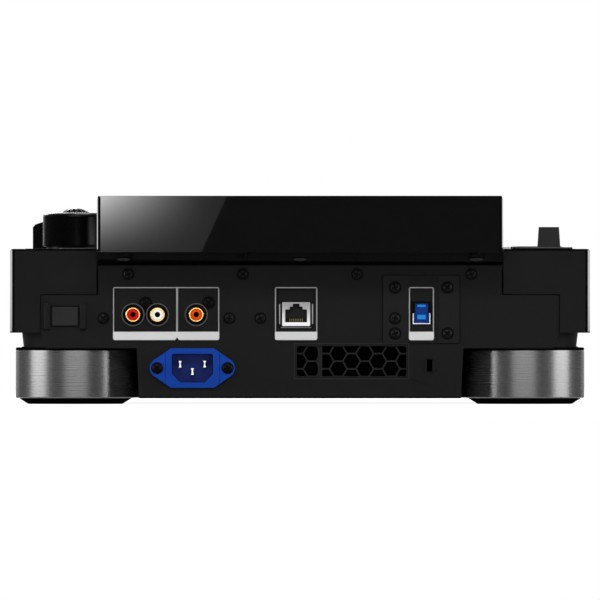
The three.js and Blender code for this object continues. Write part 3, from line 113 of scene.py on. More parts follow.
class Signal:
    """An output socket of a node, with the arithmetic that adds the nodes it needs."""

    def __init__(self, graph: Graph, socket: bpy.types.NodeSocket) -> None:
        """Args: graph: the node tree's wrapper. socket: the output that this stands for."""
        self.graph = graph
        self.socket = socket

    def _is_vector(self) -> bool:
        """Returns: whether the socket carries a vector or a colour."""
        return self.socket.type in {"VECTOR", "RGBA"}

    def _join(self, operation: str, first: Any, second: Any = None) -> Signal:
        """One step of arithmetic.

        Args:
            operation: the name of the operation.
            first: a signal or a number.
            second: a signal or a number, where the operation takes two.

        Returns:
            The signal that comes out.
        """
        vector = any(isinstance(side, Signal) and side._is_vector() for side in (first, second))
        kind = "ShaderNodeVectorMath" if vector else "ShaderNodeMath"
        if vector:
            first, second = (
                (side,) * 3 if isinstance(side, (int, float)) else side for side in (first, second)
            )
        sides = {0: first} if second is None else {0: first, 1: second}
        return self.graph.node(kind, {"operation": operation}, sides)

    def __add__(self, other: Any) -> Signal:
        """Returns: this plus the other."""
        return self._join("ADD", self, other)

    def __radd__(self, other: Any) -> Signal:
        """Returns: the other plus this."""
        return self._join("ADD", other, self)

    def __sub__(self, other: Any) -> Signal:
        """Returns: this less the other."""
        return self._join("SUBTRACT", self, other)

    def __rsub__(self, other: Any) -> Signal:
        """Returns: the other less this."""
        return self._join("SUBTRACT", other, self)

    def __mul__(self, other: Any) -> Signal:
        """Returns: this times the other."""
        return self._join("MULTIPLY", self, other)

    def __truediv__(self, other: Any) -> Signal:
        """Returns: this over the other."""
        return self._join("DIVIDE", self, other)

    def __pow__(self, other: Any) -> Signal:
        """Returns: this to the power of the other."""
        return self._join("POWER", self, other)

    def below(self, level: float) -> Signal:
        """Returns: 1 where this is under the level and 0 elsewhere."""
        return self._join("LESS_THAN", self, level)

    def larger(self, other: Any) -> Signal:
        """Returns: the larger of this and the other."""
        return self._join("MAXIMUM", self, other)

    def smaller(self, other: Any) -> Signal:
        """Returns: the smaller of this and the other."""
        return self._join("MINIMUM", self, other)

    def wave(self) -> Signal:
        """Returns: the sine of this."""
        return self._join("SINE", self)

    def ramp(self, low: float, high: float, start: float = 0.0, end: float = 1.0) -> Signal:
        """A smooth step between two levels.

        Args:
            low: the level where it starts.
            high: the level where it ends.
            start: what comes out below low.
            end: what comes out above high.

        Returns:
            The stepped signal.
        """
        return self.graph.node(
            "ShaderNodeMapRange",
            {"interpolation_type": "SMOOTHSTEP"},
            {"Value": self, "From Min": low, "From Max": high, "To Min": start, "To Max": end},
        )


class Graph:
    """The node tree of one material, or of the world."""

    def __init__(self, tree: bpy.types.NodeTree) -> None:
        """Args: tree: the tree, which is emptied."""
        self.tree = tree
        tree.nodes.clear()

    def node(
        self,
        kind: str,
        settings: dict[str, Any] | None = None,
        sockets: dict[Any, Any] | None = None,
        output: Any = 0,
    ) -> Signal:
        """Adds a node.

        Args:
            kind: the node's type.
            settings: its settings, which are set first.
            sockets: a value or a signal for each input, by name or number.
            output: the name or number of the output that comes back.

        Returns:
            That output as a signal.
        """
        made = self.tree.nodes.new(kind)
        for name, value in (settings or {}).items():
            setattr(made, name, value)
        for key, value in (sockets or {}).items():
            if isinstance(value, Signal):
                self.tree.links.new(value.socket, made.inputs[key])
            else:
                made.inputs[key].default_value = value
        return Signal(self, made.outputs[output] if made.outputs else None)

    def place(self) -> Signal:
        """Returns: the point on the piece, in metres of the deck's frame."""
        return self.node("ShaderNodeTexCoord", output="Object")

    def axes(self, point: Signal) -> tuple[Signal, Signal, Signal]:
        """Returns: the three measures of a point."""
        first = self.node("ShaderNodeSeparateXYZ", sockets={0: point})
        outputs = first.socket.node.outputs
        return first, Signal(self, outputs[1]), Signal(self, outputs[2])

    def mapped(self, point: Signal, scale: Place, shift: Place = (0, 0, 0)) -> Signal:
        """Returns: a point scaled and shifted."""
        return self.node("ShaderNodeMapping", sockets={"Vector": point, "Scale": scale, "Location": shift})

    def length(self, point: Signal) -> Signal:
        """Returns: how far a point is from the origin."""
        return self.node("ShaderNodeVectorMath", {"operation": "LENGTH"}, {0: point}, "Value")

    def noise(self, point: Signal, scale: float, detail: float = 2.0, rough: float = 0.5) -> Signal:
        """Returns: soft noise from 0 to 1 at so many waves a metre."""
        return self.node(
            "ShaderNodeTexNoise",
            sockets={"Vector": point, "Scale": scale, "Detail": detail, "Roughness": rough},
            output="Fac",
        )

    def blend(self, factor: Any, first: Any, second: Any) -> Signal:
        """Blends two colours.

        Args:
            factor: how much of the second shows, from 0 to 1.
            first: a colour or a signal.
            second: a colour or a signal.

        Returns:
            The colour between them.
        """
        first, second = (
            (*side, 1.0) if isinstance(side, tuple) and len(side) == 3 else side
            for side in (first, second)
        )
        settings = {"data_type": "RGBA"}
        return self.node("ShaderNodeMix", settings, {0: factor, 6: first, 7: second}, output=2)

    def bump(self, height: Signal, strength: float, depth: float) -> Signal:
        """Returns: a normal that follows a height, whose depth is in millimetres."""
        return self.node(
            "ShaderNodeBump", sockets={"Height": height, "Strength": strength, "Distance": depth * MM}
        )

    def mix(self, factor: Any, first: Signal, second: Signal) -> Signal:
        """Returns: a shader between two shaders."""
        return self.node("ShaderNodeMixShader", sockets={0: factor, 1: first, 2: second})

    def glow(self, strength: Any) -> Signal:
        """Returns: a white light of a strength."""
        return self.node("ShaderNodeEmission", sockets={"Color": WHITE_LIGHT, "Strength": strength})

    def matt(self, colour: Colour) -> Signal:
        """Returns: a plain matt shader."""
        return self.node("ShaderNodeBsdfDiffuse", sockets={"Color": (*colour, 1.0)})

    def ray(self, output: str) -> Signal:
        """Returns: one output of the light path."""
        return self.node("ShaderNodeLightPath", output=output)

    def surface(self, **sockets: Any) -> Signal:
        """Ends the tree in one plain surface shader.

        Args:
            **sockets: its inputs, with an underscore for each space.

        Returns:
            The shader.
        """
        values = {}
        for name, value in sockets.items():
            if isinstance(value, tuple) and len(value) == 3 and name.endswith("colour"):
                value = (*value, 1.0)
            values[name.replace("_", " ").title().replace("Colour", "Color").replace("Ior", "IOR")] = value
        shader = self.node("ShaderNodeBsdfPrincipled", sockets=values)
        self.node("ShaderNodeOutputMaterial", sockets={"Surface": shader})
        return shader


# Finishes


@dataclass(frozen=True)
class Finish:
    """What every finish has."""

    name: str
    slot: str
    colour: Colour

    def material(self) -> bpy.types.Material:
        """Returns: the material of this finish, which is made once."""
        found = bpy.data.materials.get(self.name)
        if found is None:
            found = bpy.data.materials.new(self.name)
            found.use_nodes = True
            self.dress(Graph(found.node_tree))
            found.diffuse_color = (*self.colour, 1.0)
        return found

    def dress(self, graph: Graph) -> None:
        """Fills the node tree. Args: graph: the empty tree."""
        raise NotImplementedError

    def shade(self, factor: float) -> Colour:
        """Returns: the colour made lighter or darker by a factor."""
        return tuple(part * factor for part in self.colour)


@dataclass(frozen=True)
class Moulded(Finish):
    """Injection-moulded plastic with a fine spark-eroded grain and faint handling marks."""

    roughness: float = 0.5
    grain: float = 0.55
    depth: float = 0.02
    mottle: float = 0.12
    marks: float = 0.08
    sheen: float = 0.22

    def dress(self, graph: Graph) -> None:
        """Fills the node tree. Args: graph: the empty tree."""
        point = graph.place()
        grain = graph.noise(point, 1 / (self.grain * MM), 2.0, 0.6)
        pits = graph.node(
            "ShaderNodeTexVoronoi", {"feature": "F1"},
            {"Vector": point, "Scale": 1 / (self.grain * 1.7 * MM), "Randomness": 1.0}, "Distance",
        )
        cloud = graph.noise(point, 18.0, 4.0, 0.6)
        wiped = graph.noise(graph.mapped(point, (1.0, 3.5, 1.0)), 26.0, 3.0, 0.7).ramp(0.45, 0.75)
        shade = cloud * 0.7 + grain.ramp(0.35, 0.65) * 0.3
        graph.surface(
            base_colour=graph.blend(shade, self.shade(1 - self.mottle), self.shade(1 + self.mottle)),
            roughness=self.roughness + (cloud - 0.5) * 0.1 + wiped * self.marks,
            normal=graph.bump(grain * 0.6 + pits * 0.4, 0.35, self.depth),
            specular_ior_level=self.sheen,
        )


@dataclass(frozen=True)
class Powder(Finish):
    """Sheet steel under a satin powder coat with a slight orange-peel skin."""

    roughness: float = 0.5
    peel: float = 0.9
    depth: float = 0.03
    sheen: float = 0.18

    def dress(self, graph: Graph) -> None:
        """Fills the node tree. Args: graph: the empty tree."""
        point = graph.place()
        peel = graph.noise(point, 1 / (self.peel * MM), 2.0, 0.45)
        spark = graph.noise(point, 2600.0, 1.0, 0.5).ramp(0.6, 0.8)
        cloud = graph.noise(point, 14.0, 4.0, 0.6)
        tone = graph.blend(cloud * 0.8 + spark * 0.2, self.shade(0.86), self.shade(1.2))
        rough = self.roughness + (cloud - 0.5) * 0.12 - spark * 0.08
        graph.surface(
            base_colour=tone, roughness=rough, normal=graph.bump(peel, 0.3, self.depth),
            specular_ior_level=self.sheen,
        )


@dataclass(frozen=True)
class Polished(Finish):
    """Piano-black plastic: a deep gloss with faint dust and wiping marks."""

    roughness: float = 0.05

    def dress(self, graph: Graph) -> None:
        """Fills the node tree. Args: graph: the empty tree."""
        point = graph.place()
        wiped = graph.noise(graph.mapped(point, (1.0, 4.0, 2.0)), 22.0, 4.0, 0.65).ramp(0.5, 0.85)
        dust = graph.noise(point, 1900.0, 1.0, 0.5).ramp(0.72, 0.8)
        ripple = graph.noise(point, 60.0, 1.0, 0.4)
        graph.surface(
            base_colour=graph.blend(dust * 0.35, self.colour, self.shade(3.0)),
            roughness=self.roughness + wiped * 0.006 + dust * 0.1,
            normal=graph.bump(ripple, 0.02, 0.005),
        )


@dataclass(frozen=True)
class Metal(Finish):
    """Bare or plated metal, with lines that run one way where it was brushed or turned, and, where heights
    are given, a painted shade: lighter below them and darker above.
    """

    roughness: float = 0.28
    lines: Place = (1.0, 1.0, 60.0)
    line_scale: float = 60.0
    depth: float = 0.01
    contrast: float = 0.14
    metallic: float = 1.0
    painted_shade_heights: Point = ()

    def dress(self, graph: Graph) -> None:
        """Fills the node tree. Args: graph: the empty tree."""
        point = graph.place()
        lines = graph.noise(graph.mapped(point, self.lines), self.line_scale, 5.0, 0.75)
        cloud = graph.noise(point, 30.0, 3.0, 0.6)
        tone = graph.blend(
            lines * 0.75 + cloud * 0.25, self.shade(1 - self.contrast), self.shade(1 + self.contrast)
        )
        rough = self.roughness + (lines - 0.5) * 0.1 + (cloud - 0.5) * 0.04
        # Painted shade and highlight: between the two heights in millimetres the colour goes from a lighter
        # copy below to a darker copy above.
        if self.painted_shade_heights:
            level = graph.axes(point)[2] / MM
            tone = graph.blend(level.ramp(*self.painted_shade_heights), self.shade(1.6), tone * 0.62)
        graph.surface(
            base_colour=tone, metallic=self.metallic, roughness=rough,
            normal=graph.bump(lines, 0.25, self.depth),
        )


@dataclass(frozen=True)
class TurnedFace(Finish):
    """A face cut on a lathe about an upright axis, with fine rings."""

    centre: Point = (0.0, 0.0)
    pitch: float = 0.5
    roughness: float = 0.3
    metallic: float = 1.0
    depth: float = 0.02

    def dress(self, graph: Graph) -> None:
        """Fills the node tree. Args: graph: the empty tree."""
        point = graph.place()
        centre = tuple(-value * MM for value in self.centre)
        reach = graph.length(graph.mapped(point, (1.0, 1.0, 0.0), (*centre, 0.0)))
        rings = (reach * (2 * math.pi / (self.pitch * MM))).wave()
        chatter = graph.node(
            "ShaderNodeTexNoise", {"noise_dimensions": "1D"},
            {"W": reach, "Scale": 2400.0, "Detail": 4.0, "Roughness": 0.7}, "Fac",
        )
        cloud = graph.noise(point, 24.0, 4.0, 0.6)
        tone = graph.blend(chatter * 0.6 + cloud * 0.4, self.shade(0.8), self.shade(1.25))
        graph.surface(
            base_colour=tone, metallic=self.metallic,
            roughness=self.roughness + (chatter - 0.5) * 0.2 + (cloud - 0.5) * 0.08,
            normal=graph.bump(rings * 0.5 + chatter, 0.3, self.depth),
        )


@dataclass(frozen=True)
class Elastic(Finish):
    """Matt rubber with a dusty bloom."""

    roughness: float = 0.85

    def dress(self, graph: Graph) -> None:
        """Fills the node tree. Args: graph: the empty tree."""
        point = graph.place()
        grain = graph.noise(point, 1400.0, 3.0, 0.7)
        bloom = graph.noise(point, 35.0, 4.0, 0.65).ramp(0.35, 0.8)
        tone = graph.blend(bloom * 0.5 + grain * 0.2, self.colour, self.shade(2.2))
        graph.surface(
            base_colour=tone, roughness=self.roughness + (bloom - 0.5) * 0.1,
            normal=graph.bump(grain, 0.4, 0.03), specular_ior_level=0.0,
        )


@dataclass(frozen=True)
class Lacquered(Finish):
    """A printed circuit board: lacquer over copper tracks."""

    def dress(self, graph: Graph) -> None:
        """Fills the node tree. Args: graph: the empty tree."""
        point = graph.place()
        tracks = graph.node(
            "ShaderNodeTexBrick", {"offset": 0.5},
            {"Vector": point, "Scale": 160.0, "Mortar Size": 0.06, "Mortar Smooth": 0.2}, "Fac",
        )
        cloud = graph.noise(point, 60.0, 3.0, 0.6)
        tone = graph.blend(tracks, self.colour, self.shade(2.5))
        graph.surface(
            base_colour=tone, roughness=0.35 + cloud * 0.2, normal=graph.bump(tracks, 0.3, 0.03)
        )


CASE = Moulded("satin_black_case", "black_plastic", (0.0034, 0.0034, 0.0035), roughness=0.45, sheen=0.11)
KEY_BLACK = Moulded(
    "black_key", "black_plastic", (0.0055, 0.0056, 0.0058), roughness=0.38, grain=0.4, sheen=0.35
)
KNOB = Moulded(
    "knob_black", "black_plastic", (0.0027, 0.0027, 0.0028), roughness=0.24, grain=0.4, marks=0.06,
    sheen=0.12,
)
DARK = Moulded("dark_grained", "dark_plastic", (0.0078, 0.008, 0.0084), roughness=0.52)
MODULE = Moulded("module_plate", "dark_plastic", (0.022, 0.0223, 0.023), roughness=0.5)
PAD = Moulded("soft_pad", "pad_grey", (0.1, 0.102, 0.108), roughness=0.7, grain=0.8, mottle=0.06)
GREY_KEY = Moulded("light_grey_key", "grey_key", (0.46, 0.465, 0.475), roughness=0.42, mottle=0.04)
LINE = Moulded("printed_frame", "grey_key", (0.26, 0.26, 0.26), roughness=0.6, grain=0.3, mottle=0.05)
PRINT = Moulded("printed_line", "grey_key", (0.52, 0.52, 0.52), roughness=0.6, grain=0.3, mottle=0.05)
STEEL = Powder("powder_coat", "black_steel", (0.0036, 0.0036, 0.0037), roughness=0.55, sheen=0.14)
SCREW_BLACK = Powder(
    "screw_black", "black_steel", (0.0038, 0.0038, 0.004), roughness=0.42, peel=0.5, sheen=0.22
)
PLATE_SCREW = Powder("overhang_screw", "black_steel", (0.03, 0.03, 0.031), roughness=0.4, peel=0.5)
EDGE_GLOSS = Moulded(
    "case_edge_gloss", "black_plastic", (0.003, 0.003, 0.0031), roughness=0.1, grain=0.4, depth=0.004,
    marks=0.03, sheen=0.28,
)
INLET_SCREW = Powder(
    "inlet_screw", "black_steel", (0.0015, 0.0015, 0.0016), roughness=0.35, peel=0.5, sheen=0.12
)
PLATE = Powder("plate_coat", "black_steel", (0.0052, 0.0052, 0.0053), roughness=0.55, sheen=0.14)
ZONE = Powder("plate_zone", "black_steel", (0.0034, 0.0034, 0.0036), roughness=0.55, sheen=0.14)
VENT = Powder("vent_black", "dark_plastic", (0.0048, 0.0048, 0.005), roughness=0.5)
# Near-black with no sheen: painted shade behind the vent's holes.
VENT_SHADE = Elastic("vent_painted_shade", "rubber", (0.0009, 0.0009, 0.0009))
GLOSS = Polished("piano_black", "gloss_black", (0.0035, 0.0035, 0.0038), roughness=0.012)
GLASS = Polished("touch_glass", "screen_glass", (0.003, 0.0031, 0.0036), roughness=0.03)
FOOT = Metal(
    "turned_foot", "foot_metal", (0.168, 0.1675, 0.167), roughness=0.27, lines=(1, 1, 90), line_scale=30,
    contrast=0.06, metallic=0.84,
)
# Matt black rubber of the pads; also the near-black lines, brow and foot bands of painted shade.
RUBBER_AND_SHADE = Elastic("rubber_and_painted_shade", "rubber", (0.0015, 0.0015, 0.0015))
PLATED = Metal("plated_steel", "silver_metal", (0.6, 0.6, 0.61), roughness=0.24, lines=(6, 1, 60))
# The shield is painted lighter at the bottom and darker at the top: painted shade and highlight.
SHIELD = Metal(
    "plated_shield", "silver_metal", (0.4, 0.4, 0.405), roughness=0.3, lines=(6, 1, 60), painted_shade_heights=(45.0, 57.0)
)
BLADE = Metal(
    "blade_nickel", "silver_metal", (0.95, 0.97, 1.0), roughness=0.35, lines=(6, 1, 60), contrast=0.05
)
SPRING = Metal("spring_steel", "silver_metal", (0.22, 0.22, 0.225), roughness=0.3, lines=(6, 1, 60))
GOLD = Metal("gold_plate", "gold_shell", (0.92, 0.62, 0.2), roughness=0.24, contrast=0.08)
CONTACT = Moulded(
    "contact_gold", "gold_shell", (0.13, 0.118, 0.016), roughness=0.4, mottle=0.05, sheen=0.5
)
BLUE = Moulded(
    "inlet_blue", "blue_plastic", (0.003, 0.038, 0.265), roughness=0.45, mottle=0.06, sheen=0.06
)
# A darker copy of the flange's blue for the liner inside the mouth: painted shade.
SHADED_BLUE = Moulded(
    "inlet_inside_painted_shade", "blue_plastic", (0.011, 0.023, 0.14), roughness=0.5, mottle=0.06, sheen=0.06
)
PORT_BLUE = Moulded("port_blue", "blue_plastic", (0.003, 0.034, 0.2), roughness=0.5, mottle=0.06, sheen=0.06)
TONGUE_BLUE = Moulded(
    "tongue_blue", "blue_plastic", (0.016, 0.19, 0.56), roughness=0.45, mottle=0.04, sheen=0.06
)
RED = Moulded("jack_red", "dark_plastic", (0.5, 0.004, 0.004), roughness=0.45, mottle=0.06, sheen=0.05)
JACK_RING = Moulded(
    "jack_ring", "dark_plastic", (0.0014, 0.0014, 0.0015), roughness=0.2, grain=0.3, depth=0.005,
    marks=0.02, sheen=0.5,
)
WHITE = Moulded("jack_white", "grey_key", (0.78, 0.77, 0.73), roughness=0.35, mottle=0.03)
ORANGE = Moulded("jack_orange", "dark_plastic", (0.6, 0.06, 0.003), roughness=0.45, mottle=0.06, sheen=0.05)
PORT_GREY = Moulded("port_grey", "dark_plastic", (0.012, 0.0122, 0.0122), roughness=0.6, sheen=0.1)
# Near-black plastic of the socket blocks and bodies; also used for painted shade: the rings round screws,
# shield and plate, the ground in the panel's holes, the jack bores and the strip under the pan.
BLACK_CORE_AND_SHADE = Moulded("black_core_and_painted_shade", "dark_plastic", (0.0013, 0.0013, 0.0014), roughness=0.6, sheen=0.06)
BOARD = Lacquered("lacquered_board", "board_green", (0.008, 0.05, 0.022))


# Shaping


def only(*things: bpy.types.Object) -> None:
    """Leaves nothing selected but these objects.

    Args:
        *things: the objects, the first of which becomes the active one.
    """
    if bpy.context.mode != "OBJECT":
        bpy.ops.object.mode_set(mode="OBJECT")
    bpy.ops.object.select_all(action="DESELECT")
    for thing in things:
        thing.select_set(True)
    bpy.context.view_layer.objects.active = things[0] if things else None


def metres(place: Iterable[float]) -> Vector:
    """Returns: a place in millimetres as a vector in metres."""
    return Vector([value * MM for value in place])


def rounded(x: float, y: float, width: float, length: float, radius: float, steps: int = 5) -> list[Point]:
    """The outline of a rectangle with round corners.

    Args:
        x: the middle across.
        y: the middle along.
        width: the size across.
        length: the size along.
        radius: the corner radius.
        steps: the steps in each corner.

    Returns:
        The outline's points, anticlockwise.
    """
    points = []
    for corner, (side, end) in enumerate(((1, 1), (-1, 1), (-1, -1), (1, -1))):
        cx, cy = x + side * (width / 2 - radius), y + end * (length / 2 - radius)
        for step in range(steps + 1):
            angle = math.radians(90 * (corner + step / steps))
            points.append((cx + radius * math.cos(angle), cy + radius * math.sin(angle)))
    return points


def ring_points(x: float, y: float, radius: float, count: int, phase: float = 0.0) -> list[Point]:
    """Returns: points evenly round a circle, starting at a phase in degrees."""
    angles = [math.radians(phase + 360 * step / count) for step in range(count)]
    return [(x + radius * math.cos(angle), y + radius * math.sin(angle)) for angle in angles]


class Piece:
    """A mesh while it is shaped. Its sizes and places are in millimetres."""

    def __init__(self, name: str, thing: bpy.types.Object) -> None:
        """Args: name: the piece's name. thing: its object."""
        self.thing = thing
        self.name = name
        thing.name = name
        thing.data.name = name

    @classmethod
    def settled(cls, name: str) -> Piece:
        """Returns: the active object as a piece, with its place put into its mesh."""
        thing = bpy.context.object
        only(thing)
        bpy.ops.object.transform_apply(location=True, rotation=True, scale=True)
        return cls(name, thing)

    @classmethod
    def block(cls, name: str, low: Place, high: Place) -> Piece:
        """A block between two corners.

        Args:
            name: the piece's name.
            low: the lowest corner.
            high: the highest corner.

        Returns:
            The block.
        """
        only()
        low_point, high_point = metres(low), metres(high)
        bpy.ops.mesh.primitive_cube_add(
            size=1, location=(low_point + high_point) / 2, scale=high_point - low_point
        )
        return cls.settled(name)

    @classmethod
    def prism(
        cls, name: str, outline: Sequence[Point], low: float, high: float, facing: Facing = Facing.UP
    ) -> Piece:
        """An outline raised from one level to another.

        Args:
            name: the piece's name.
            outline: points across and along where it faces up, across and up where it faces the
                rear, and along and up where it faces the side.
            low: the level where it starts.
            high: the level where it ends.
            facing: the way that it is raised.

        Returns:
            The solid.
        """
        only()
        bpy.ops.mesh.primitive_circle_add(vertices=len(outline), radius=1.0, fill_type="NGON")
        thing = bpy.context.object
        for vertex, (across, along) in zip(thing.data.vertices, outline):
            vertex.co = metres(facing.lay(across, along, low))
        piece = cls(name, thing)
        shift = metres(facing.lay(0, 0, high - low))
        piece.edit(Part.FACES, None, lambda: bpy.ops.mesh.extrude_region_move(
            TRANSFORM_OT_translate={"value": shift}
        ))
        return piece.outward()

    @classmethod
    def turned(
        cls, name: str, profile: Sequence[Point], place: Place = (0, 0, 0),
        facing: Facing = Facing.UP, steps: int = 64, closed: bool = False,
    ) -> Piece:
        """A profile of radius and height pairs turned about its axis.

        Args:
            name: the piece's name.
            profile: the radius and height of each ring, from the base on.
            place: where the axis starts.
            facing: the way that the axis points.
            steps: the steps round.
            closed: whether the profile closes on itself, as for a ring.

        Returns:
            The turned solid.
        """
        only()
        radius, height = profile[0]
        bpy.ops.mesh.primitive_circle_add(
            vertices=steps, radius=radius * MM, location=(0, 0, height * MM),
            fill_type="NOTHING" if closed else "NGON",
        )
        piece = cls.settled(name)
        bpy.context.tool_settings.mesh_select_mode = (True, False, False)
        bpy.ops.object.mode_set(mode="EDIT")
        bpy.ops.mesh.select_all(action="SELECT")
        for (before, start), (after, end) in zip(profile, profile[1:]):
            bpy.ops.mesh.extrude_region_move(
                TRANSFORM_OT_translate={"value": (0, 0, (end - start) * MM)}
            )
            factor = after / before
            bpy.ops.transform.resize(value=(factor, factor, 1), center_override=(0, 0, end * MM))
        bpy.ops.mesh.select_all(action="SELECT")
        bpy.ops.mesh.remove_doubles(threshold=MERGE_GAP)
        bpy.ops.object.mode_set(mode="OBJECT")
        piece.moved(Matrix.Translation(metres(place)) @ facing.turn())
        return piece.outward()

    @classmethod
    def from_node(cls, name: str, node: str) -> Piece:
        """A merged copy of a frame node, to be finished further.

        Args:
            name: the piece's name.
            node: the frame node's name.

        Returns:
            The copy.
        """
        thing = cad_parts[node].copy()
        thing.data = thing.data.copy()
        thing.parent = None
        for key in list(thing.keys()):
            del thing[key]
        bpy.context.scene.collection.objects.link(thing)
        only(thing)
        bpy.ops.mesh.customdata_custom_splitnormals_clear()
        thing.data.materials.clear()
        piece = cls(name, thing)

        def merge() -> None:
            """Joins the loose triangles and lays the flat faces out afresh."""
            bpy.ops.mesh.remove_doubles(threshold=NODE_GAP)
            bpy.ops.mesh.dissolve_limited(angle_limit=FLAT_ANGLE)
            bpy.ops.mesh.quads_convert_to_tris(quad_method="BEAUTY", ngon_method="BEAUTY")
            bpy.ops.mesh.beautify_fill(angle_limit=EVEN_ANGLE)

        piece.edit(Part.FACES, None, merge)
        return piece

    def edit(
        self, part: Part, test: Callable[[Vector, Any], bool] | None, action: Callable[[], Any]
    ) -> Piece:
        """Runs operators in edit mode on what a test picks.

        Args:
            part: whether points, edges or faces are picked.
            test: takes the middle in millimetres and the element. None picks everything.
            action: what is run.

        Returns:
            This piece.
        """
        only(self.thing)
        mesh = self.thing.data
        for group in (mesh.vertices, mesh.edges, mesh.polygons):
            group.foreach_set("select", [test is None] * len(group))
        if test is not None:
            points = [vertex.co / MM for vertex in mesh.vertices]
            if part is Part.POINTS:
                for vertex in mesh.vertices:
                    vertex.select = test(points[vertex.index], vertex)
            elif part is Part.EDGES:
                for edge in mesh.edges:
                    first, second = (points[index] for index in edge.vertices)
                    edge.select = test((first + second) / 2, second - first)
            else:
                for face in mesh.polygons:
                    face.select = test(face.center / MM, face)
        flags = tuple(kind is part for kind in (Part.POINTS, Part.EDGES, Part.FACES))
        bpy.context.tool_settings.mesh_select_mode = flags
        bpy.ops.object.mode_set(mode="EDIT")
        if test is None:
            bpy.ops.mesh.select_all(action="SELECT")
        action()
        bpy.ops.object.mode_set(mode="OBJECT")
        return self

    def outward(self) -> Piece:
        """Returns: this piece with every face turned outwards."""
        return self.edit(Part.FACES, None, lambda: bpy.ops.mesh.normals_make_consistent(inside=False))

    def bevelled(
        self, test: Callable[[Vector, Any], bool] | None, width: float, steps: int = 2
    ) -> Piece:
        """Bevels the edges that a test picks. Returns: this piece."""
        return self.edit(Part.EDGES, test, lambda: bpy.ops.mesh.bevel(
            offset=width * MM, segments=steps, affect="EDGES", clamp_overlap=True
        ))

    def modified(self, kind: str, **settings: Any) -> Piece:
        """Applies a modifier.

        Args:
            kind: its type.
            **settings: its settings.

        Returns:
            This piece.
        """
        only(self.thing)
        modifier = self.thing.modifiers.new(kind.title(), kind)
        for key, value in settings.items():
            setattr(modifier, key, value)
        bpy.ops.object.modifier_apply(modifier=modifier.name)
        return self

    def combined(self, operation: str, tools: Sequence[Piece]) -> Piece:
        """Runs a boolean with other solids.

        Args:
            operation: its name.
            tools: the other solids, which are used up.

        Returns:
            This piece.
        """
        for tool in tools:
            self.modified("BOOLEAN", operation=operation, object=tool.thing, solver="EXACT")
            bpy.data.objects.remove(tool.thing)
        return self

    def cut(self, *tools: Piece) -> Piece:
        """Returns: this piece with other solids taken away."""
        return self.combined("DIFFERENCE", tools)

    def united(self, *others: Piece) -> Piece:
        """Returns: this piece made one solid with others."""
        return self.combined("UNION", others)

    def softened(self, width: float, steps: int = 2, angle: float = 35.0) -> Piece:
        """Rounds every edge sharper than an angle, and evens the shading. Returns: this piece."""
        self.modified(
            "BEVEL", width=width * MM, segments=steps, limit_method="ANGLE",
            angle_limit=math.radians(angle), use_clamp_overlap=True, miter_outer="MITER_ARC",
        )
        return self.smooth(60.0)

    def smooth(self, angle: float = 40.0) -> Piece:
        """Shades faces that meet under an angle as one.

        Args:
            angle: the angle, in degrees.

        Returns:
            This piece, with its large flat faces kept flat.
        """
        only(self.thing)
        bpy.ops.object.shade_smooth_by_angle(angle=math.radians(angle))
        return self.modified("WEIGHTED_NORMAL", keep_sharp=True, weight=80)

    def joined(self, *others: Piece) -> Piece:
        """Puts other meshes into this piece.

        Args:
            *others: the other pieces, which are used up.

        Returns:
            This piece.
        """
        only(self.thing, *(other.thing for other in others))
        bpy.ops.object.join()
        return self

    def copy(self, name: str, shift: Place = (0, 0, 0), matrix: Matrix | None = None) -> Piece:
        """Copies the piece with its own mesh.

        Args:
            name: the copy's name.
            shift: how far it is moved.
            matrix: a turn in metres that is made first.

        Returns:
            The copy.
        """
        thing = self.thing.copy()
        thing.data = self.thing.data.copy()
        thing.parent = None
        bpy.context.scene.collection.objects.link(thing)
        thing.data.transform(Matrix.Translation(metres(shift)) @ (matrix or Matrix.Identity(4)))
        return Piece(name, thing)

    def moved(self, matrix: Matrix) -> Piece:
        """Moves the mesh by a matrix in metres. Returns: this piece."""
        self.thing.data.transform(matrix)
        return self

    def done(self, finish: Finish, body: str = "deck", stands_for: Sequence[str] = ()) -> Piece:
        """Dresses the piece and lets it ride on its body.

        Args:
            finish: its finish.
            body: the body that it moves with.
            stands_for: the frame nodes that it is shown in place of.

        Returns:
            This piece.
        """
        self.thing.data.materials.clear()
        self.thing.data.materials.append(finish.material())
        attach(self.thing, body)
        if stands_for:
            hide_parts(*stands_for)
        LOG.info("%s rides on %s, %d faces", self.name, body, len(self.thing.data.polygons))
        return self


@dataclass(frozen=True)
class Span:
    """The box round a frame node, in millimetres."""

    low: Vector
    high: Vector

    @classmethod
    def of(cls, node: str) -> Span:
        """Returns: the box round a node."""
        low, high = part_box(node)
        return cls(low / MM, high / MM)

    @property
    def middle(self) -> Vector:
        """Returns: the box's middle."""
        return (self.low + self.high) / 2

    @property
    def size(self) -> Vector:
        """Returns: the box's size."""
        return self.high - self.low


class Assembly:
    """A group of pieces that is built together."""

    def build(self) -> None:
        """Builds every piece of the group."""
        raise NotImplementedError


def dress_node(node: str, finish: Finish) -> None:
    """Gives a frame node that stays shown its finish.

    Args:
        node: its name.
        finish: its finish.
    """
    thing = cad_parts[node]
    thing.data.materials.clear()
    thing.data.materials.append(finish.material())
    LOG.info("%s keeps its frame shape", node)


# Fasteners


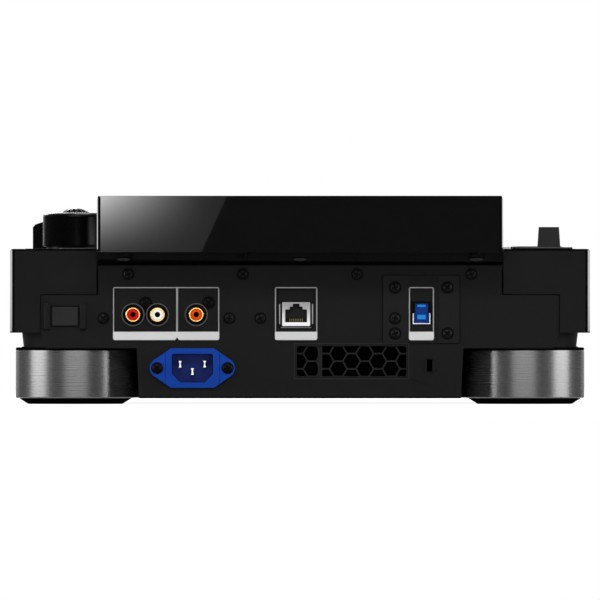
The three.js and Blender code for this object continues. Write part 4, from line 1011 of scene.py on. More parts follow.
@dataclass
class Screw:
    """A pan-head screw with a cross recess and a ring of painted shade round it, made once and copied."""

    radius: float = 2.5
    rise: float = 1.0
    sunk: float = 0.6
    recess_length: float = 3.5
    recess_width: float = 1.2
    recess_depth: float = 0.85
    shade_ring_width: float = 0.95
    shade_ring_rise: float = 0.3
    crown: tuple[Point, ...] = ((1.0, 0.3), (0.95, 0.62), (0.84, 0.86), (0.68, 1.0), (0.4, 1.0))
    first_turn: float = 17.0
    next_turn: float = 31.0
    steps: int = 28
    shade_ring_steps: int = 40

    def pattern(self, name: str, facing: Facing) -> Piece:
        """One screw at the origin.

        Args:
            name: its name.
            facing: the way that its head points.

        Returns:
            The screw.
        """
        radius, rise = self.radius, self.rise
        top = [(radius * share, rise * part) for share, part in self.crown]
        profile = [(radius * 0.6, -self.sunk), (radius * 0.96, -0.1), (radius, 0.0), *top]
        head = Piece.turned(name, profile, steps=self.steps)
        long, wide = self.recess_length / 2, self.recess_width / 2
        low, high = rise - self.recess_depth, rise + 1
        head.cut(
            Piece.block("slot_a", (-long, -wide, low), (long, wide, high)),
            Piece.block("slot_b", (-wide, -long, low), (wide, long, high)),
        )
        head.smooth(50.0)
        return head.moved(facing.turn())

    def shade_ring(self, name: str, facing: Facing) -> Piece:
        """Painted shade: a near-black ring round the head and a near-black floor in its recess, standing in
        for the shade in the gap round the head and down in the recess.

        Args:
            name: its name.
            facing: the way that the head points.

        Returns:
            Both in one mesh.
        """
        inner, outer, rise = self.radius - 0.3, self.radius + self.shade_ring_width, self.shade_ring_rise
        rim = [
            (inner, -0.1), (outer, -0.1), (outer, 0.1), (outer - 0.15, rise - 0.05), (inner, rise),
            (inner, -0.1),
        ]
        ring = Piece.turned(name, rim, steps=self.shade_ring_steps, closed=True)
        long, wide = self.recess_length / 2 - 0.05, self.recess_width / 2 - 0.05
        floor = self.rise - self.recess_depth
        ring.joined(
            Piece.block("floor_a", (-long, -wide, floor - 0.2), (long, wide, floor + 0.1)),
            Piece.block("floor_b", (-wide, -long, floor - 0.2), (wide, long, floor + 0.12)),
        )
        return ring.smooth().moved(facing.turn())

    def place_all(
        self, stem: str, places: Sequence[Place], facing: Facing, finish: Finish, tilt: float = 0.0
    ) -> None:
        """Copies the screw to each place.

        Args:
            stem: the start of each copy's name.
            places: where the screws sit.
            facing: the way that their heads point.
            finish: their finish.
            tilt: how far they lean about the line across the deck, in degrees.
        """
        axis = "Y" if facing is Facing.REAR else "Z"
        lean = Matrix.Rotation(math.radians(tilt), 4, "X")
        pattern = self.pattern(f"{stem}_pattern", facing)
        shade_ring = self.shade_ring(f"{stem}_seat", facing)
        for index, place in enumerate(places):
            spin = math.radians(self.first_turn + self.next_turn * index)
            turn = lean @ Matrix.Rotation(spin, 4, axis)
            pattern.copy(f"{stem}_{index + 1}", place, turn).done(finish)
            # The near-black ring and recess floor are painted shade round and inside the head.
            shade_ring.copy(f"{stem}_{index + 1}_seat", place, turn).done(BLACK_CORE_AND_SHADE)
        bpy.data.objects.remove(pattern.thing)
        bpy.data.objects.remove(shade_ring.thing)


# Rear side


def raised(name: str, outline: Sequence[Point], low: float, high: float) -> Piece:
    """Returns: an outline across and up, raised towards the rear from one level to another."""
    return Piece.prism(name, outline, low, high, Facing.REAR)


@dataclass
class RearPanel(Assembly):
    """The stepped steel sheet with its screws, printed frames and label bands."""

    face: float = PANEL_FACE
    edge: float = 0.2
    print_depth: float = 0.12
    line: float = 0.58
    frame_low: float = 36.3
    frame_high: float = 66.3
    band_high: float = 41.0
    above_all: float = 100.0
    audio: Point = (45.8, 106.0)
    network: Point = (-9.8, 14.2)
    divider: float = 69.7
    divider_width: float = 1.05
    notch_half: float = 1.5
    upper_row: float = 73.7
    upper_screws: tuple[float, ...] = (97.4, 32.5, -32.4, -97.1)
    middle_row: float = 48.6
    middle_screws: tuple[float, ...] = (111.5, 40.1, 22.5)
    jack_screws: tuple[Point, ...] = ((87.6, 57.2), (51.8, 57.4))
    lock: Point = (-73.5, 21.9)
    lock_lip: tuple[Point, ...] = ((4.6, 0.0), (4.6, 0.25), (4.2, 0.35), (4.2, 0.0), (4.6, 0.0))

    def printed_frame(self, name: str, ends: Point, face: float, dividers: Sequence[float]) -> None:
        """A printed line round a group of sockets, with a filled band under them.

        Args:
            name: the frame's name.
            ends: its lower and its upper edge across.
            face: the surface that it is printed on.
            dividers: the middles of the upright lines inside it.
        """
        left, right = ends
        middle = (left + right) / 2
        tall = self.frame_high - self.frame_low
        outline = rounded(middle, self.frame_low + tall / 2, right - left, tall, 1.1, 4)
        half, reach = self.divider_width / 2, (right - left) / 2 + 1
        stops = [left + self.line, *(d + s * half for d in dividers for s in (-1, 1)), right - self.line]
        lines = raised(name, outline, face - 0.05, face + self.print_depth)
        band = lines.copy(f"{name}_band")
        for start, end in zip(stops[::2], stops[1::2]):
            low, high = (start, face - 1, self.frame_low), (end, face + 1, self.frame_high - self.line)
            lines.cut(Piece.block("window", low, high))
        below, above = (middle - reach, face - 1), (middle + reach, face + 1)
        lines.cut(Piece.block("foot", (*below, 0), (*above, self.band_high)))
        band.cut(Piece.block("head", (*below, self.band_high), (*above, self.above_all)))
        for place in dividers:
            foot, wide = self.frame_low - 0.3, self.notch_half
            notch = [(place - wide, foot), (place + wide, foot), (place, self.frame_low + wide)]
            band.cut(raised("notch", notch, face - 1, face + 1))
        lines.smooth().done(LINE)
        band.smooth().done(PRINT)

    def build(self) -> None:
        """Builds the sheet, its prints, its screws and the lip of the lock slot."""
        sheet = Piece.from_node("panel_sheet", "rear_panel")
        sheet.softened(self.edge).done(STEEL, stands_for=["rear_panel"])
        self.printed_frame("audio_frame", self.audio, self.face, [self.divider])
        self.printed_frame("network_frame", self.network, self.face, [])
        upper = [(x, self.face, self.upper_row) for x in self.upper_screws]
        middle = [(x, self.face, self.middle_row) for x in self.middle_screws]
        Screw().place_all("panel_screw", upper + middle, Facing.REAR, SCREW_BLACK)
        jacks = [(x, self.face + 0.15, z) for x, z in self.jack_screws]
        Screw(radius=2.4, shade_ring_width=0.4).place_all("jack_screw", jacks, Facing.REAR, INLET_SCREW)
        place = (self.lock[0], self.face, self.lock[1])
        lip = Piece.turned("lock_slot_lip", self.lock_lip, place, Facing.REAR, 40, True)
        lip.smooth().done(STEEL)


@dataclass
class Jack:
    """One phono socket: black bezel, gold shell, coloured insulator and its contact."""

    name: str
    x: float
    colour: Finish
    z: float = 50.7
    face: float = PANEL_FACE
    hole_radius: float = 6.3
    bezel_width: float = 0.5
    bezel_lap: float = 0.6
    shell_radius: float = 4.2
    shell_wall: float = 0.85
    reach: float = 8.0
    core_length: float = 9.0
    bore_radius: float = 1.55
    steps: int = 56

    def turned(self, part: str, profile: Sequence[Point], finish: Finish) -> None:
        """Turns a ring about the socket's axis.

        Args:
            part: the end of the piece's name.
            profile: its closed profile.
            finish: its finish.
        """
        place = (self.x, self.face, self.z)
        ring = Piece.turned(f"{self.name}_{part}", profile, place, Facing.REAR, self.steps, True)
        ring.smooth().done(finish)

    def build(self) -> None:
        """Builds the socket's pieces."""
        outer, inner = self.hole_radius + self.bezel_width, self.hole_radius - self.bezel_lap
        back = -1.6
        self.turned("bezel", [
            (inner, back), (outer - 0.4, back), (outer - 0.4, 0.0), (outer, 0.05), (outer, 0.35),
            (outer - 0.2, 0.6), (inner + 0.15, 0.6), (inner, 0.4), (inner, back),
        ], JACK_RING)
        tip, back = self.reach, -1.4
        wall, shell = self.shell_radius - self.shell_wall, self.shell_radius
        self.turned("shell", [
            (wall, back), (shell, back), (shell, tip - 0.35), (shell - 0.3, tip),
            (wall + 0.12, tip), (wall, tip - 0.15), (wall, back),
        ], GOLD)
        core, bore, back = wall - 0.05, self.bore_radius, tip - self.core_length
        self.turned("insulator", [
            (bore, back), (core, back), (core, tip - 0.55), (core - 0.25, tip - 0.4),
            (bore + 0.25, tip - 0.4), (bore, tip - 0.65), (bore, back),
        ], self.colour)
        # Painted shade: the contact in the bore is near-black, standing in for the shade deep in the bore.
        shaded_bore_floor = [(bore - 0.1, back - 0.2), (bore - 0.1, tip - 5.0), (0.4, tip - 5.0)]
        place = (self.x, self.face, self.z)
        Piece.turned(f"{self.name}_contact", shaded_bore_floor, place, Facing.REAR, 24).smooth().done(BLACK_CORE_AND_SHADE)


@dataclass
class SocketBlocks(Assembly):
    """The phono sockets and the moulded blocks behind them."""

    face: float = 190.2
    front: float = PANEL_FACE
    depth: float = 12.0
    low: float = 43.3
    high: float = 58.1
    steps: int = 56

    def lobes(self, name: str, rings: Sequence[Place]) -> None:
        """The black ground round a group of holes: black plastic seen through the panel, made darker than it
        is as painted shade in the holes.

        Args:
            name: the group's name.
            rings: each lobe's middle across and up, and its radius.
        """
        # Painted shade: the lobes sit flush in the panel's holes and are near-black, with almost no sheen.
        plates = []
        for index, (x, z, radius) in enumerate(rings):
            low, high = self.front - 0.4, self.front + 0.1 + index * 0.002
            points = ring_points(x, z, radius, self.steps)
            plates.append(raised(f"{name}_lobes_{index}", points, low, high))
        plates[0].united(*plates[1:]).smooth(30.0).done(BLACK_CORE_AND_SHADE)

    def build(self) -> None:
        """Builds both blocks, their grounds and the three sockets."""
        for name, left, right in (("audio_sockets", 74.2, 101.3), ("digital_socket", 52.2, 65.4)):
            low, high = (left, self.face - self.depth, self.low), (right, self.face, self.high)
            block = Piece.block(f"{name}_block", low, high)
            block.softened(0.4).done(BLACK_CORE_AND_SHADE, stands_for=[name])
        self.lobes("audio", ((94.7, 50.7, 6.6), (80.8, 50.7, 6.6), (87.6, 57.2, 3.9), (87.6, 52.5, 4.2)))
        self.lobes("digital", ((58.8, 50.7, 6.6), (51.8, 57.4, 3.9), (55.3, 54.0, 3.4)))
        for name, x, colour in (("right", 94.7, RED), ("left", 80.8, WHITE), ("digital", 58.8, ORANGE)):
            Jack(f"jack_{name}", x, colour).build()


@dataclass
class MainsInlet(Assembly):
    """The blue mains inlet: shaped flange, chamfered mouth, blades and two screws."""

    x: float = 61.0
    z: float = 20.4
    face: float = PANEL_FACE
    thickness: float = 2.2
    half_width: float = 24.2
    end_radius: float = 5.6
    end_sweep: float = 116.0
    end_steps: int = 14
    middle_half: float = 12.15
    half_tall: float = 11.25
    groove_place: float = 15.4
    mouth_half: float = 11.75
    mouth_tall: float = 16.3
    mouth_chamfer: float = 4.8
    mouth_depth: float = 9.5
    mouth_corner: float = 1.3
    blades: tuple[Point, ...] = ((-7.0, 22.6), (7.0, 22.6), (0.0, 18.4))
    blade_shape: tuple[Point, ...] = (
        (-0.8, -1.9), (0.8, -1.9), (0.8, -1.35), (0.42, -1.0), (0.42, 1.0), (0.8, 1.35),
        (0.8, 1.9), (-0.8, 1.9), (-0.8, 1.35), (-0.42, 1.0), (-0.42, -1.0), (-0.8, -1.35),
    )
    screw_spacing: float = 39.9

    def flange_outline(self) -> list[Point]:
        """Returns: the outline of the flange, with its round ends."""
        points: list[Point] = []
        end, radius = self.half_width - self.end_radius, self.end_radius
        for side, base in ((1, 0), (-1, 180)):
            points.append((self.x + side * self.middle_half, self.z - side * self.half_tall))
            for step in range(self.end_steps + 1):
                angle = math.radians(base - self.end_sweep / 2 + self.end_sweep * step / self.end_steps)
                across = self.x + side * end + radius * math.cos(angle)
                points.append((across, self.z + radius * math.sin(angle)))
            points.append((self.x + side * self.middle_half, self.z + side * self.half_tall))
        return points

    def mouth_outline(self, grow: float) -> list[Point]:
        """The outline of the mouth.

        Args:
            grow: the width that it is grown by.

        Returns:
            The outline's points.
        """
        half, tall, chamfer = self.mouth_half + grow, self.mouth_tall / 2 + grow, self.mouth_chamfer
        low = [
            (self.x - half, self.z - tall + chamfer), (self.x - half + chamfer, self.z - tall),
            (self.x + half - chamfer, self.z - tall), (self.x + half, self.z - tall + chamfer),
        ]
        return low + rounded(self.x, self.z, 2 * half, 2 * tall, self.mouth_corner + grow)[:12]

    def build(self) -> None:
        """Builds the flange, the liner, the blades and the screws."""
        front = self.face + self.thickness
        flange = raised("inlet_flange", self.flange_outline(), self.face, front)
        flange.cut(raised("mouth", self.mouth_outline(0.0), self.face - 2, front + 2))
        for side in (-1, 1):
            groove, half = self.x + side * self.groove_place, 0.2
            low, high = (groove - half, front - 0.35, self.z - 12), (groove + half, front + 1, self.z + 12)
            flange.cut(Piece.block("groove", low, high))
        flange.softened(0.35, 2, 30).done(BLUE, stands_for=["mains_inlet"])
        # Painted shade: the liner inside the mouth is a darker blue than the flange.
        floor = front - self.mouth_depth
        outline = self.mouth_outline(1.2)
        liner = raised("inlet_liner", outline, floor - 1, front - 0.6)
        liner.cut(raised("room", self.mouth_outline(0.02), floor, front + 1))
        liner.smooth().done(SHADED_BLUE)
        for index, (side, z) in enumerate(self.blades):
            x = self.x + side
            shape = [(x + across, z + up) for across, up in self.blade_shape]
            blade = raised(f"inlet_blade_{index + 1}", shape, floor - 0.5, front - 3.0)
            blade.softened(0.12).done(BLADE)
        half = self.screw_spacing / 2
        places = [(self.x + side * half, front, self.z) for side in (-1, 1)]
        screw = Screw(radius=2.9, rise=1.4, recess_depth=1.1, shade_ring_width=0.5)
        screw.place_all("inlet_screw", places, Facing.REAR, INLET_SCREW)


@dataclass
class NetworkSocket(Assembly):
    """The network socket: plated shield, black core with its stepped mouth, contacts and springs."""

    x: float = 2.2
    z: float = 51.0
    face: float = PANEL_FACE
    rise: float = 0.45
    lap: float = 1.0
    width: float = 15.9
    tall: float = 13.6
    depth: float = 17.0
    mouth_width: float = 12.4
    mouth_low: float = 46.4
    mouth_high: float = 53.6
    mouth_depth: float = 3.6
    step_tall: float = 1.6
    step_half: float = 3.6
    notch_half: float = 1.85
    seam_place: Point = (2.3, 54.1)
    seam_size: Point = (20.6, 21.6)
    sill: Point = (43.2, 43.6)
    contacts: int = 8
    contact_pitch: float = 1.02
    spring: Point = (45.4, 56.7)
    spring_gap: float = 1.35

    def mouth(self, grow: float) -> list[Point]:
        """The outline of the stepped mouth.

        Args:
            grow: the width that it is grown by.

        Returns:
            The outline's points.
        """
        half, step, notch = self.mouth_width / 2 + grow, self.step_half + grow, self.notch_half + grow
        low, high = self.mouth_low - grow, self.mouth_high + grow
        first, second = high + self.step_tall, high + 2 * self.step_tall
        return [(self.x + x, z) for x, z in (
            (-half, low), (half, low), (half, high), (step, high), (step, first), (notch, first),
            (notch, second), (-notch, second), (-notch, first), (-step, first), (-step, high), (-half, high),
        )]

    def surround(self) -> None:
        """Builds the seam round the shield, a near-black ring round it that is its painted shadow, and the
        sill under it.
        """
        # Painted shadow: a thin near-black ring just outside the shield, flush with the panel.
        low, high = self.face - 0.2, self.face + 0.06
        outline = rounded(self.x, self.z, self.width + 1.3, self.tall + 1.3, 0.5, 3)
        gap = raised("network_gap", outline, low, self.face + 0.04)
        gap.cut(raised("mouth", self.mouth(0.3), low - 1, high + 1))
        gap.smooth().done(BLACK_CORE_AND_SHADE)
        (wide, tall), edge = self.seam_size, 2 * 0.5
        outline = rounded(*self.seam_place, wide, tall, 0.4, 3)
        seam = raised("network_seam", outline, low, high)
        room = rounded(*self.seam_place, wide - edge, tall - edge, 0.3, 3)
        seam.cut(raised("seam_room", room, low - 1, high + 1))
        seam.smooth().done(BLACK_CORE_AND_SHADE)
        start = (self.x - 8.6, low, self.sill[0])
        sill = Piece.block("network_sill", start, (self.x + 8.6, self.face + 0.3, self.sill[1]))
        sill.softened(0.1, 1).done(SPRING)

    def build(self) -> None:
        """Builds the shield, its surround, the core, the contacts and the springs."""
        front, rear, lap = self.face + self.rise, self.face - self.depth, self.face - self.lap
        outline = rounded(self.x, self.z, self.width, self.tall, 0.5, 3)
        shield = raised("network_shield", outline, lap, front)
        shield.cut(raised("mouth", self.mouth(0.0), rear, front + 1))
        shield.softened(0.12).done(SHIELD, stands_for=["network_socket"])
        self.surround()
        core = raised("network_core", outline, rear, lap)
        room = self.mouth(-0.15)
        core.cut(raised("room", room, self.face - self.mouth_depth, self.face + 1))
        core.smooth().done(PORT_GREY)
        for index in range(self.contacts):
            x = self.x + (index - (self.contacts - 1) / 2) * self.contact_pitch
            low = (x - 0.27, self.face - 3.8, self.mouth_low + 0.25)
            high = (x + 0.27, self.face - 1.5, self.mouth_low + 2.0)
            Piece.block(f"network_contact_{index + 1}", low, high).softened(0.1, 1).done(CONTACT)
        for name, side in SIDES:
            x = self.x + side * (self.width / 2 + self.spring_gap)
            low = (x - 0.35, self.face, self.spring[0])
            high = (x + 0.35, self.face + 0.3, self.spring[1])
            Piece.block(f"network_spring_{name}", low, high).softened(0.12).done(SPRING)


@dataclass
class ComputerSocket(Assembly):
    """The computer socket on its own screwed plate, with its printed frame."""

    x: float = -68.9
    z: float = 51.5
    face: float = PANEL_FACE
    plate_place: Point = (-68.7, 53.7)
    plate_size: Point = (43.4, 38.4)
    plate_thickness: float = 0.8
    hole: Point = (6.3, 6.7)
    zone: Point = (-78.8, -61.1)
    zone_depth: float = 0.25
    frame_ends: Point = (-75.9, -61.75)
    frame_low: float = 36.2
    body_size: Point = (12.0, 12.8)
    mouth_upper: float = 3.4
    mouth_lower: float = 4.35
    mouth_half: float = 5.4
    shell: tuple[Point, ...] = (
        (-4.95, 45.4), (4.95, 45.4), (4.95, 51.4), (4.5, 51.4),
        (4.5, 45.85), (-4.5, 45.85), (-4.5, 51.4), (-4.95, 51.4),
    )
    tongues: tuple[Place, ...] = ((3.5, 4.9, 2.4), (-3.5, -0.9, 2.5))
    screws: tuple[Point, ...] = ((-53.9, 66.1), (-83.6, 66.1), (-53.9, 48.6), (-53.9, 40.0), (-83.6, 40.0))

    def mouth(self, grow: float) -> list[Point]:
        """The outline of the two-storey mouth.

        Args:
            grow: the width that it is grown by.

        Returns:
            The outline's points.
        """
        upper, lower, half = self.mouth_upper + grow, self.mouth_lower + grow, self.mouth_half
        return [(self.x + x, z) for x, z in (
            (-lower, self.z - half - grow), (lower, self.z - half - grow), (lower, self.z + grow),
            (upper, self.z + grow), (upper, self.z + half + grow), (-upper, self.z + half + grow),
            (-upper, self.z + grow), (-lower, self.z + grow),
        )]

    def room(self, front: float, shrink: float = 0.0) -> Piece:
        """The cutter of the hole that the socket stands in.

        Args:
            front: the plate's front.
            shrink: how much smaller it is on each side.

        Returns:
            The cutter.
        """
        wide, tall = self.hole[0] - shrink, self.hole[1] - shrink
        low = (self.x - wide, self.face - 2, self.z - tall)
        return Piece.block("hole", low, (self.x + wide, front + 2, self.z + tall))

    def plate(self, front: float) -> None:
        """Builds the plate, a near-black ring round it that is its painted shadow, and the zone sunk into it.

        Args:
            front: the plate's front.
        """
        (x, z), (wide, tall) = self.plate_place, self.plate_size
        left, right = self.zone
        outline = rounded(x, z, wide, tall, 1.2)
        plate = raised("socket_plate", outline, self.face, front)
        sunk = Piece.block("zone", (left, front - self.zone_depth, 30), (right, front + 1, 80))
        plate.cut(self.room(front), sunk).softened(0.15).done(PLATE, stands_for=["usb_plate"])
        # Painted shadow: a thin near-black ring round the plate, flush with the panel.
        outline = rounded(x, z, wide + 0.9, tall + 0.9, 1.2 + 0.2)
        gap = raised("plate_gap", outline, self.face - 0.2, self.face + 0.05)
        gap.cut(self.room(front, 0.1)).smooth().done(BLACK_CORE_AND_SHADE)
        low = (left + 0.05, front - 0.4, z - tall / 2 + 0.3)
        floor = Piece.block("plate_zone", low, (right - 0.05, front - 0.23, z + tall / 2 - 0.3))
        floor.cut(self.room(front)).smooth().done(ZONE)
        panel = RearPanel(frame_low=self.frame_low)
        panel.printed_frame("computer_frame", self.frame_ends, front - self.zone_depth, [])

    def build(self) -> None:
        """Builds the plate, the socket, its tongues and its screws."""
        front = self.face + self.plate_thickness
        self.plate(front)
        tip, rear = front + 0.3, self.face - 15.0
        outline = rounded(self.x, self.z, *self.body_size, 0.4, 2)
        body = raised("computer_body", outline, rear, tip - 0.5)
        body.cut(raised("mouth", self.mouth(0.1), tip - 6, tip + 1))
        body.softened(0.15).done(BLACK_CORE_AND_SHADE, stands_for=["computer_socket"])
        liner = raised("computer_liner", self.mouth(0.05), tip - 7, tip - 0.4)
        liner.cut(raised("room", self.mouth(-0.45), tip - 2.2, tip + 1))
        liner.softened(0.1, 1).done(PORT_BLUE)
        floor = raised("computer_floor", self.mouth(-0.4), tip - 3.4, tip - 1.8)
        floor.smooth().done(PORT_BLUE)
        outline = [(self.x + x, z) for x, z in self.shell]
        raised("computer_shell", outline, rear + 3, tip).smooth().done(PLATED)
        for index, (low, high, half) in enumerate(self.tongues):
            start, end = (self.x - half, tip - 5.2, self.z + low), (self.x + half, tip - 0.9, self.z + high)
            Piece.block(f"computer_tongue_{index + 1}", start, end).softened(0.2).done(TONGUE_BLUE)
        places = [(x, front, z) for x, z in self.screws]
        Screw(radius=2.5, shade_ring_width=1.1).place_all("plate_screw", places, Facing.REAR, SCREW_BLACK)


@dataclass
class Vent(Assembly):
    """The honeycomb grille behind the panel's opening."""

    edge: float = 0.12
    pitch: float = 8.65
    column_step: float = 0.866
    cell: float = 7.75
    columns: int = 4
    opening: Point = (62.1, 17.0)
    reach: Point = (40.0, 20.0)
    mullion: Point = (-12.6, -10.1)
    shade_sheet_depth: Point = (8.0, 7.0)
    rim: Point = (65.6, 20.6)
    rim_width: float = 0.55

    def build(self) -> None:
        """Builds the grille, a near-black sheet of painted shade behind it and the embossed rim round the
        opening.
        """
        span = Span.of("vent_grille")
        x, z, rear, front = span.middle.x, span.middle.z, span.low.y, span.high.y
        grille = Piece.block("vent_mesh", tuple(span.low), tuple(span.high))
        cells = []
        for column in range(-self.columns, self.columns + 1):
            lift = 0.5 if column % 2 else 0.0
            for row in (-1, 0, 1):
                centre = (x + column * self.pitch * self.column_step, z + (row + lift) * self.pitch)
                outline = ring_points(*centre, self.cell / math.sqrt(3), 6)
                cells.append(raised("cell", outline, rear - 1, front + 1))
        across, up = self.reach
        bar = Piece.block("grille_bar", (x - across, rear, z - up), (x + across, front, z + up))
        wide, tall = (size / 2 + 0.4 for size in self.opening)
        bar.cut(Piece.block("grille_room", (x - wide, rear - 2, z - tall), (x + wide, front + 2, z + tall)))
        left, right = self.mullion
        mullion = Piece.block("mullion", (left, rear - 2, z - up), (right, front + 2, z + up))
        cutter = cells[0].joined(*cells[1:]).cut(bar, mullion)
        grille.cut(cutter).softened(self.edge, 1).done(VENT, stands_for=["vent_grille"])
        # Painted shade: the sheet behind the grille stands for the dark inside of the case, seen through the
        # holes.
        back, face = (rear - depth for depth in self.shade_sheet_depth)
        low = (span.low.x + 1, back, span.low.z + 1)
        shade_sheet = Piece.block("vent_felt", low, (span.high.x - 1, face, span.high.z - 1))
        shade_sheet.softened(0.3, 1).done(VENT_SHADE)
        low, high = PANEL_FACE - 0.1, PANEL_FACE + 0.12
        rim = raised("vent_rim", rounded(x, z, *self.rim, 0.8, 3), low, high)
        inner = rounded(x, z, *(size - 2 * self.rim_width for size in self.rim), 0.5, 3)
        rim.cut(raised("rim_room", inner, PANEL_FACE - 1, PANEL_FACE + 1))
        rim.smooth().done(DARK)


@dataclass
class PowerButton(Assembly):
    """The power button between its guard ribs."""

    edge: float = 0.3

    def build(self) -> None:
        """Builds the button."""
        button = Piece.from_node("power_cap", "power_button")
        button.softened(self.edge, 3).done(DARK, "power_button", ["power_button"])


# Case


@dataclass
class Feet(Assembly):
    """Four turned metal feet on rubber pads."""

    x: float = 127.7
    rear_y: float = 155.7
    front_y: float = -189.7
    radius: float = 33.8
    low: float = 3.4
    high: float = 31.6
    lip: float = 1.0
    middle: float = 8.0
    steps: int = 128
    pad_steps: int = 96
    pad: tuple[Point, ...] = (
        (24.0, 0.7), (25.2, 0.0), (26.6, 0.0), (27.2, 0.25),
        (31.5, 3.0), (31.7, 3.3), (30.3, 3.32), (30.3, 4.4),
    )

    def foot(self, name: str, place: Place) -> None:
        """Builds one foot with a near-black band of painted shade over its top edge, and its pad.

        Args:
            name: which foot it is.
            place: the middle of its foot print.
        """
        r, low, high, seam = self.radius, self.low, self.high, self.high - self.lip
        inner = r - 3.2
        ring = [
            (inner, low + 1.2), (inner, low), (r - 0.6, low), (r - 0.2, low + 0.2), (r, low + 0.6),
            (r, seam - 0.5), (r - 0.15, seam - 0.15), (r - 0.5, seam), (self.middle, seam),
        ]
        foot = Piece.turned(f"foot_{name}", ring, place, Facing.UP, self.steps)
        foot.smooth().done(FOOT, stands_for=[f"foot_ring_{name}"])
        # Painted shade: a near-black band over the top of the foot, where the foot meets the case.
        rubber = [
            (self.middle, seam - 0.2), (r - 0.3, seam - 0.2), (r - 0.1, seam + 0.1), (r, high - 0.5),
            (r - 0.15, high + 0.2), (r - 0.7, high + 0.5), (self.middle, high + 0.5),
        ]
        shade_band = Piece.turned(f"gasket_{name}", rubber, place, Facing.UP, self.steps)
        shade_band.smooth().done(RUBBER_AND_SHADE)
        pad = Piece.turned(f"pad_{name}", self.pad, place, Facing.UP, self.pad_steps)
        pad.smooth().done(RUBBER_AND_SHADE, stands_for=[f"foot_pad_{name}"])

    def build(self) -> None:
        """Builds the four feet."""
        for name, side in SIDES:
            for end, y in (("rear", self.rear_y), ("front", self.front_y)):
                self.foot(f"{end}_{name}", (side * self.x, y, 0))


def on_side(outline: Sequence[Point], side: int) -> list[Point]:
    """Returns: an outline of the +X side, or with side -1 its mirror image, both anticlockwise."""
    return [(side * x, y) for x, y in outline][::side]


def tapers(outline: Sequence[Point], low: float, high: float, matrix: Matrix) -> list[Piece]:
    """Returns: the wedges that taper both rear corners, of an outline on the +X side, moved in place."""
    return [Piece.prism("taper", on_side(outline, side), low, high).moved(matrix) for side in (1, -1)]


@dataclass
class Case(Assembly):
    """The deck moulding and the steel pan under it."""

    edge: float = 0.3
    pan_edge: float = 0.25
    key_sink: float = 0.45
    fixed_keys: Point = (88.5, 88.95)
    corner: tuple[Point, ...] = ((163.1, 194.0), (163.1, 191.8), (166.0, 169.0), (166.0, 194.0))
    corner_ends: Point = (39.0, 92.0)
    strip: tuple[Point, ...] = ((163.05, 191.4), (163.2, 191.5), (164.52, 181.15), (164.4, 180.6))
    strip_ends: Point = (41.2, 87.2)
    line: tuple[Point, ...] = (
        (161.9, 192.2), (162.95, 191.6), (163.12, 191.85), (162.6, 192.3), (161.9, 192.58),
    )
    shade_line_ends: Point = (40.6, 87.9)
    brow: Point = (115.6, 162.6)
    shade_brow_low: Point = (192.2, 87.05)
    shade_brow_high: Point = (192.62, 87.98)
    shade_hem_low: Place = (-91.2, 189.0, 3.25)
    shade_hem_high: Place = (91.2, 191.62, 4.4)
    belly: float = 3.6
    belly_screws: tuple[Point, ...] = (
        (80.0, 174.0), (0.0, 174.0), (-80.0, 174.0), (80.0, 0.0),
        (-80.0, 0.0), (80.0, -208.0), (0.0, -208.0), (-80.0, -208.0),
    )

    def build(self) -> None:
        """Builds both shells, the glossy strips along their edges, the near-black lines of painted shade
        beside them and along the top rear edge, and the screws under the pan.
        """
        low, high = self.fixed_keys
        shell = Piece.from_node("deck_shell", "top_case")
        shell.cut(*tapers(self.corner, *self.corner_ends, Matrix.Identity(4)))
        shell.edit(
            Part.POINTS, lambda point, vertex: low < point.z < high,
            lambda: bpy.ops.transform.translate(value=(0, 0, -self.key_sink * MM)),
        )
        shell.softened(self.edge, 2, 40).done(CASE, stands_for=["top_case"])
        for name, side in SIDES:
            strip = Piece.prism(f"case_edge_{name}", on_side(self.strip, side), *self.strip_ends)
            strip.smooth().done(EDGE_GLOSS)
            # Painted shade: thin near-black lines beside the glossy edge strips and a near-black brow along
            # the top rear edge.
            line = Piece.prism(f"case_line_{name}", on_side(self.line, side), *self.shade_line_ends)
            line.smooth().done(RUBBER_AND_SHADE)
            start, end = sorted(side * x for x in self.brow)
            brow = Piece.block(f"case_brow_{name}", (start, *self.shade_brow_low), (end, *self.shade_brow_high))
            brow.softened(0.1, 1).done(RUBBER_AND_SHADE)
        # Painted shade: a near-black strip along the lower rear edge of the pan.
        Piece.block("pan_hem", self.shade_hem_low, self.shade_hem_high).softened(0.15, 2).done(BLACK_CORE_AND_SHADE)
        places = [(x, y, self.belly) for x, y in self.belly_screws]
        screw = Screw(radius=3.2, rise=0.3, recess_depth=0.3, shade_ring_width=0.8)
        screw.place_all("belly_screw", places, Facing.DOWN, PLATE_SCREW)
        pan = Piece.from_node("chassis_pan", "bottom_chassis")
        pan.softened(self.pan_edge, 2, 30).done(STEEL, stands_for=["bottom_chassis"])


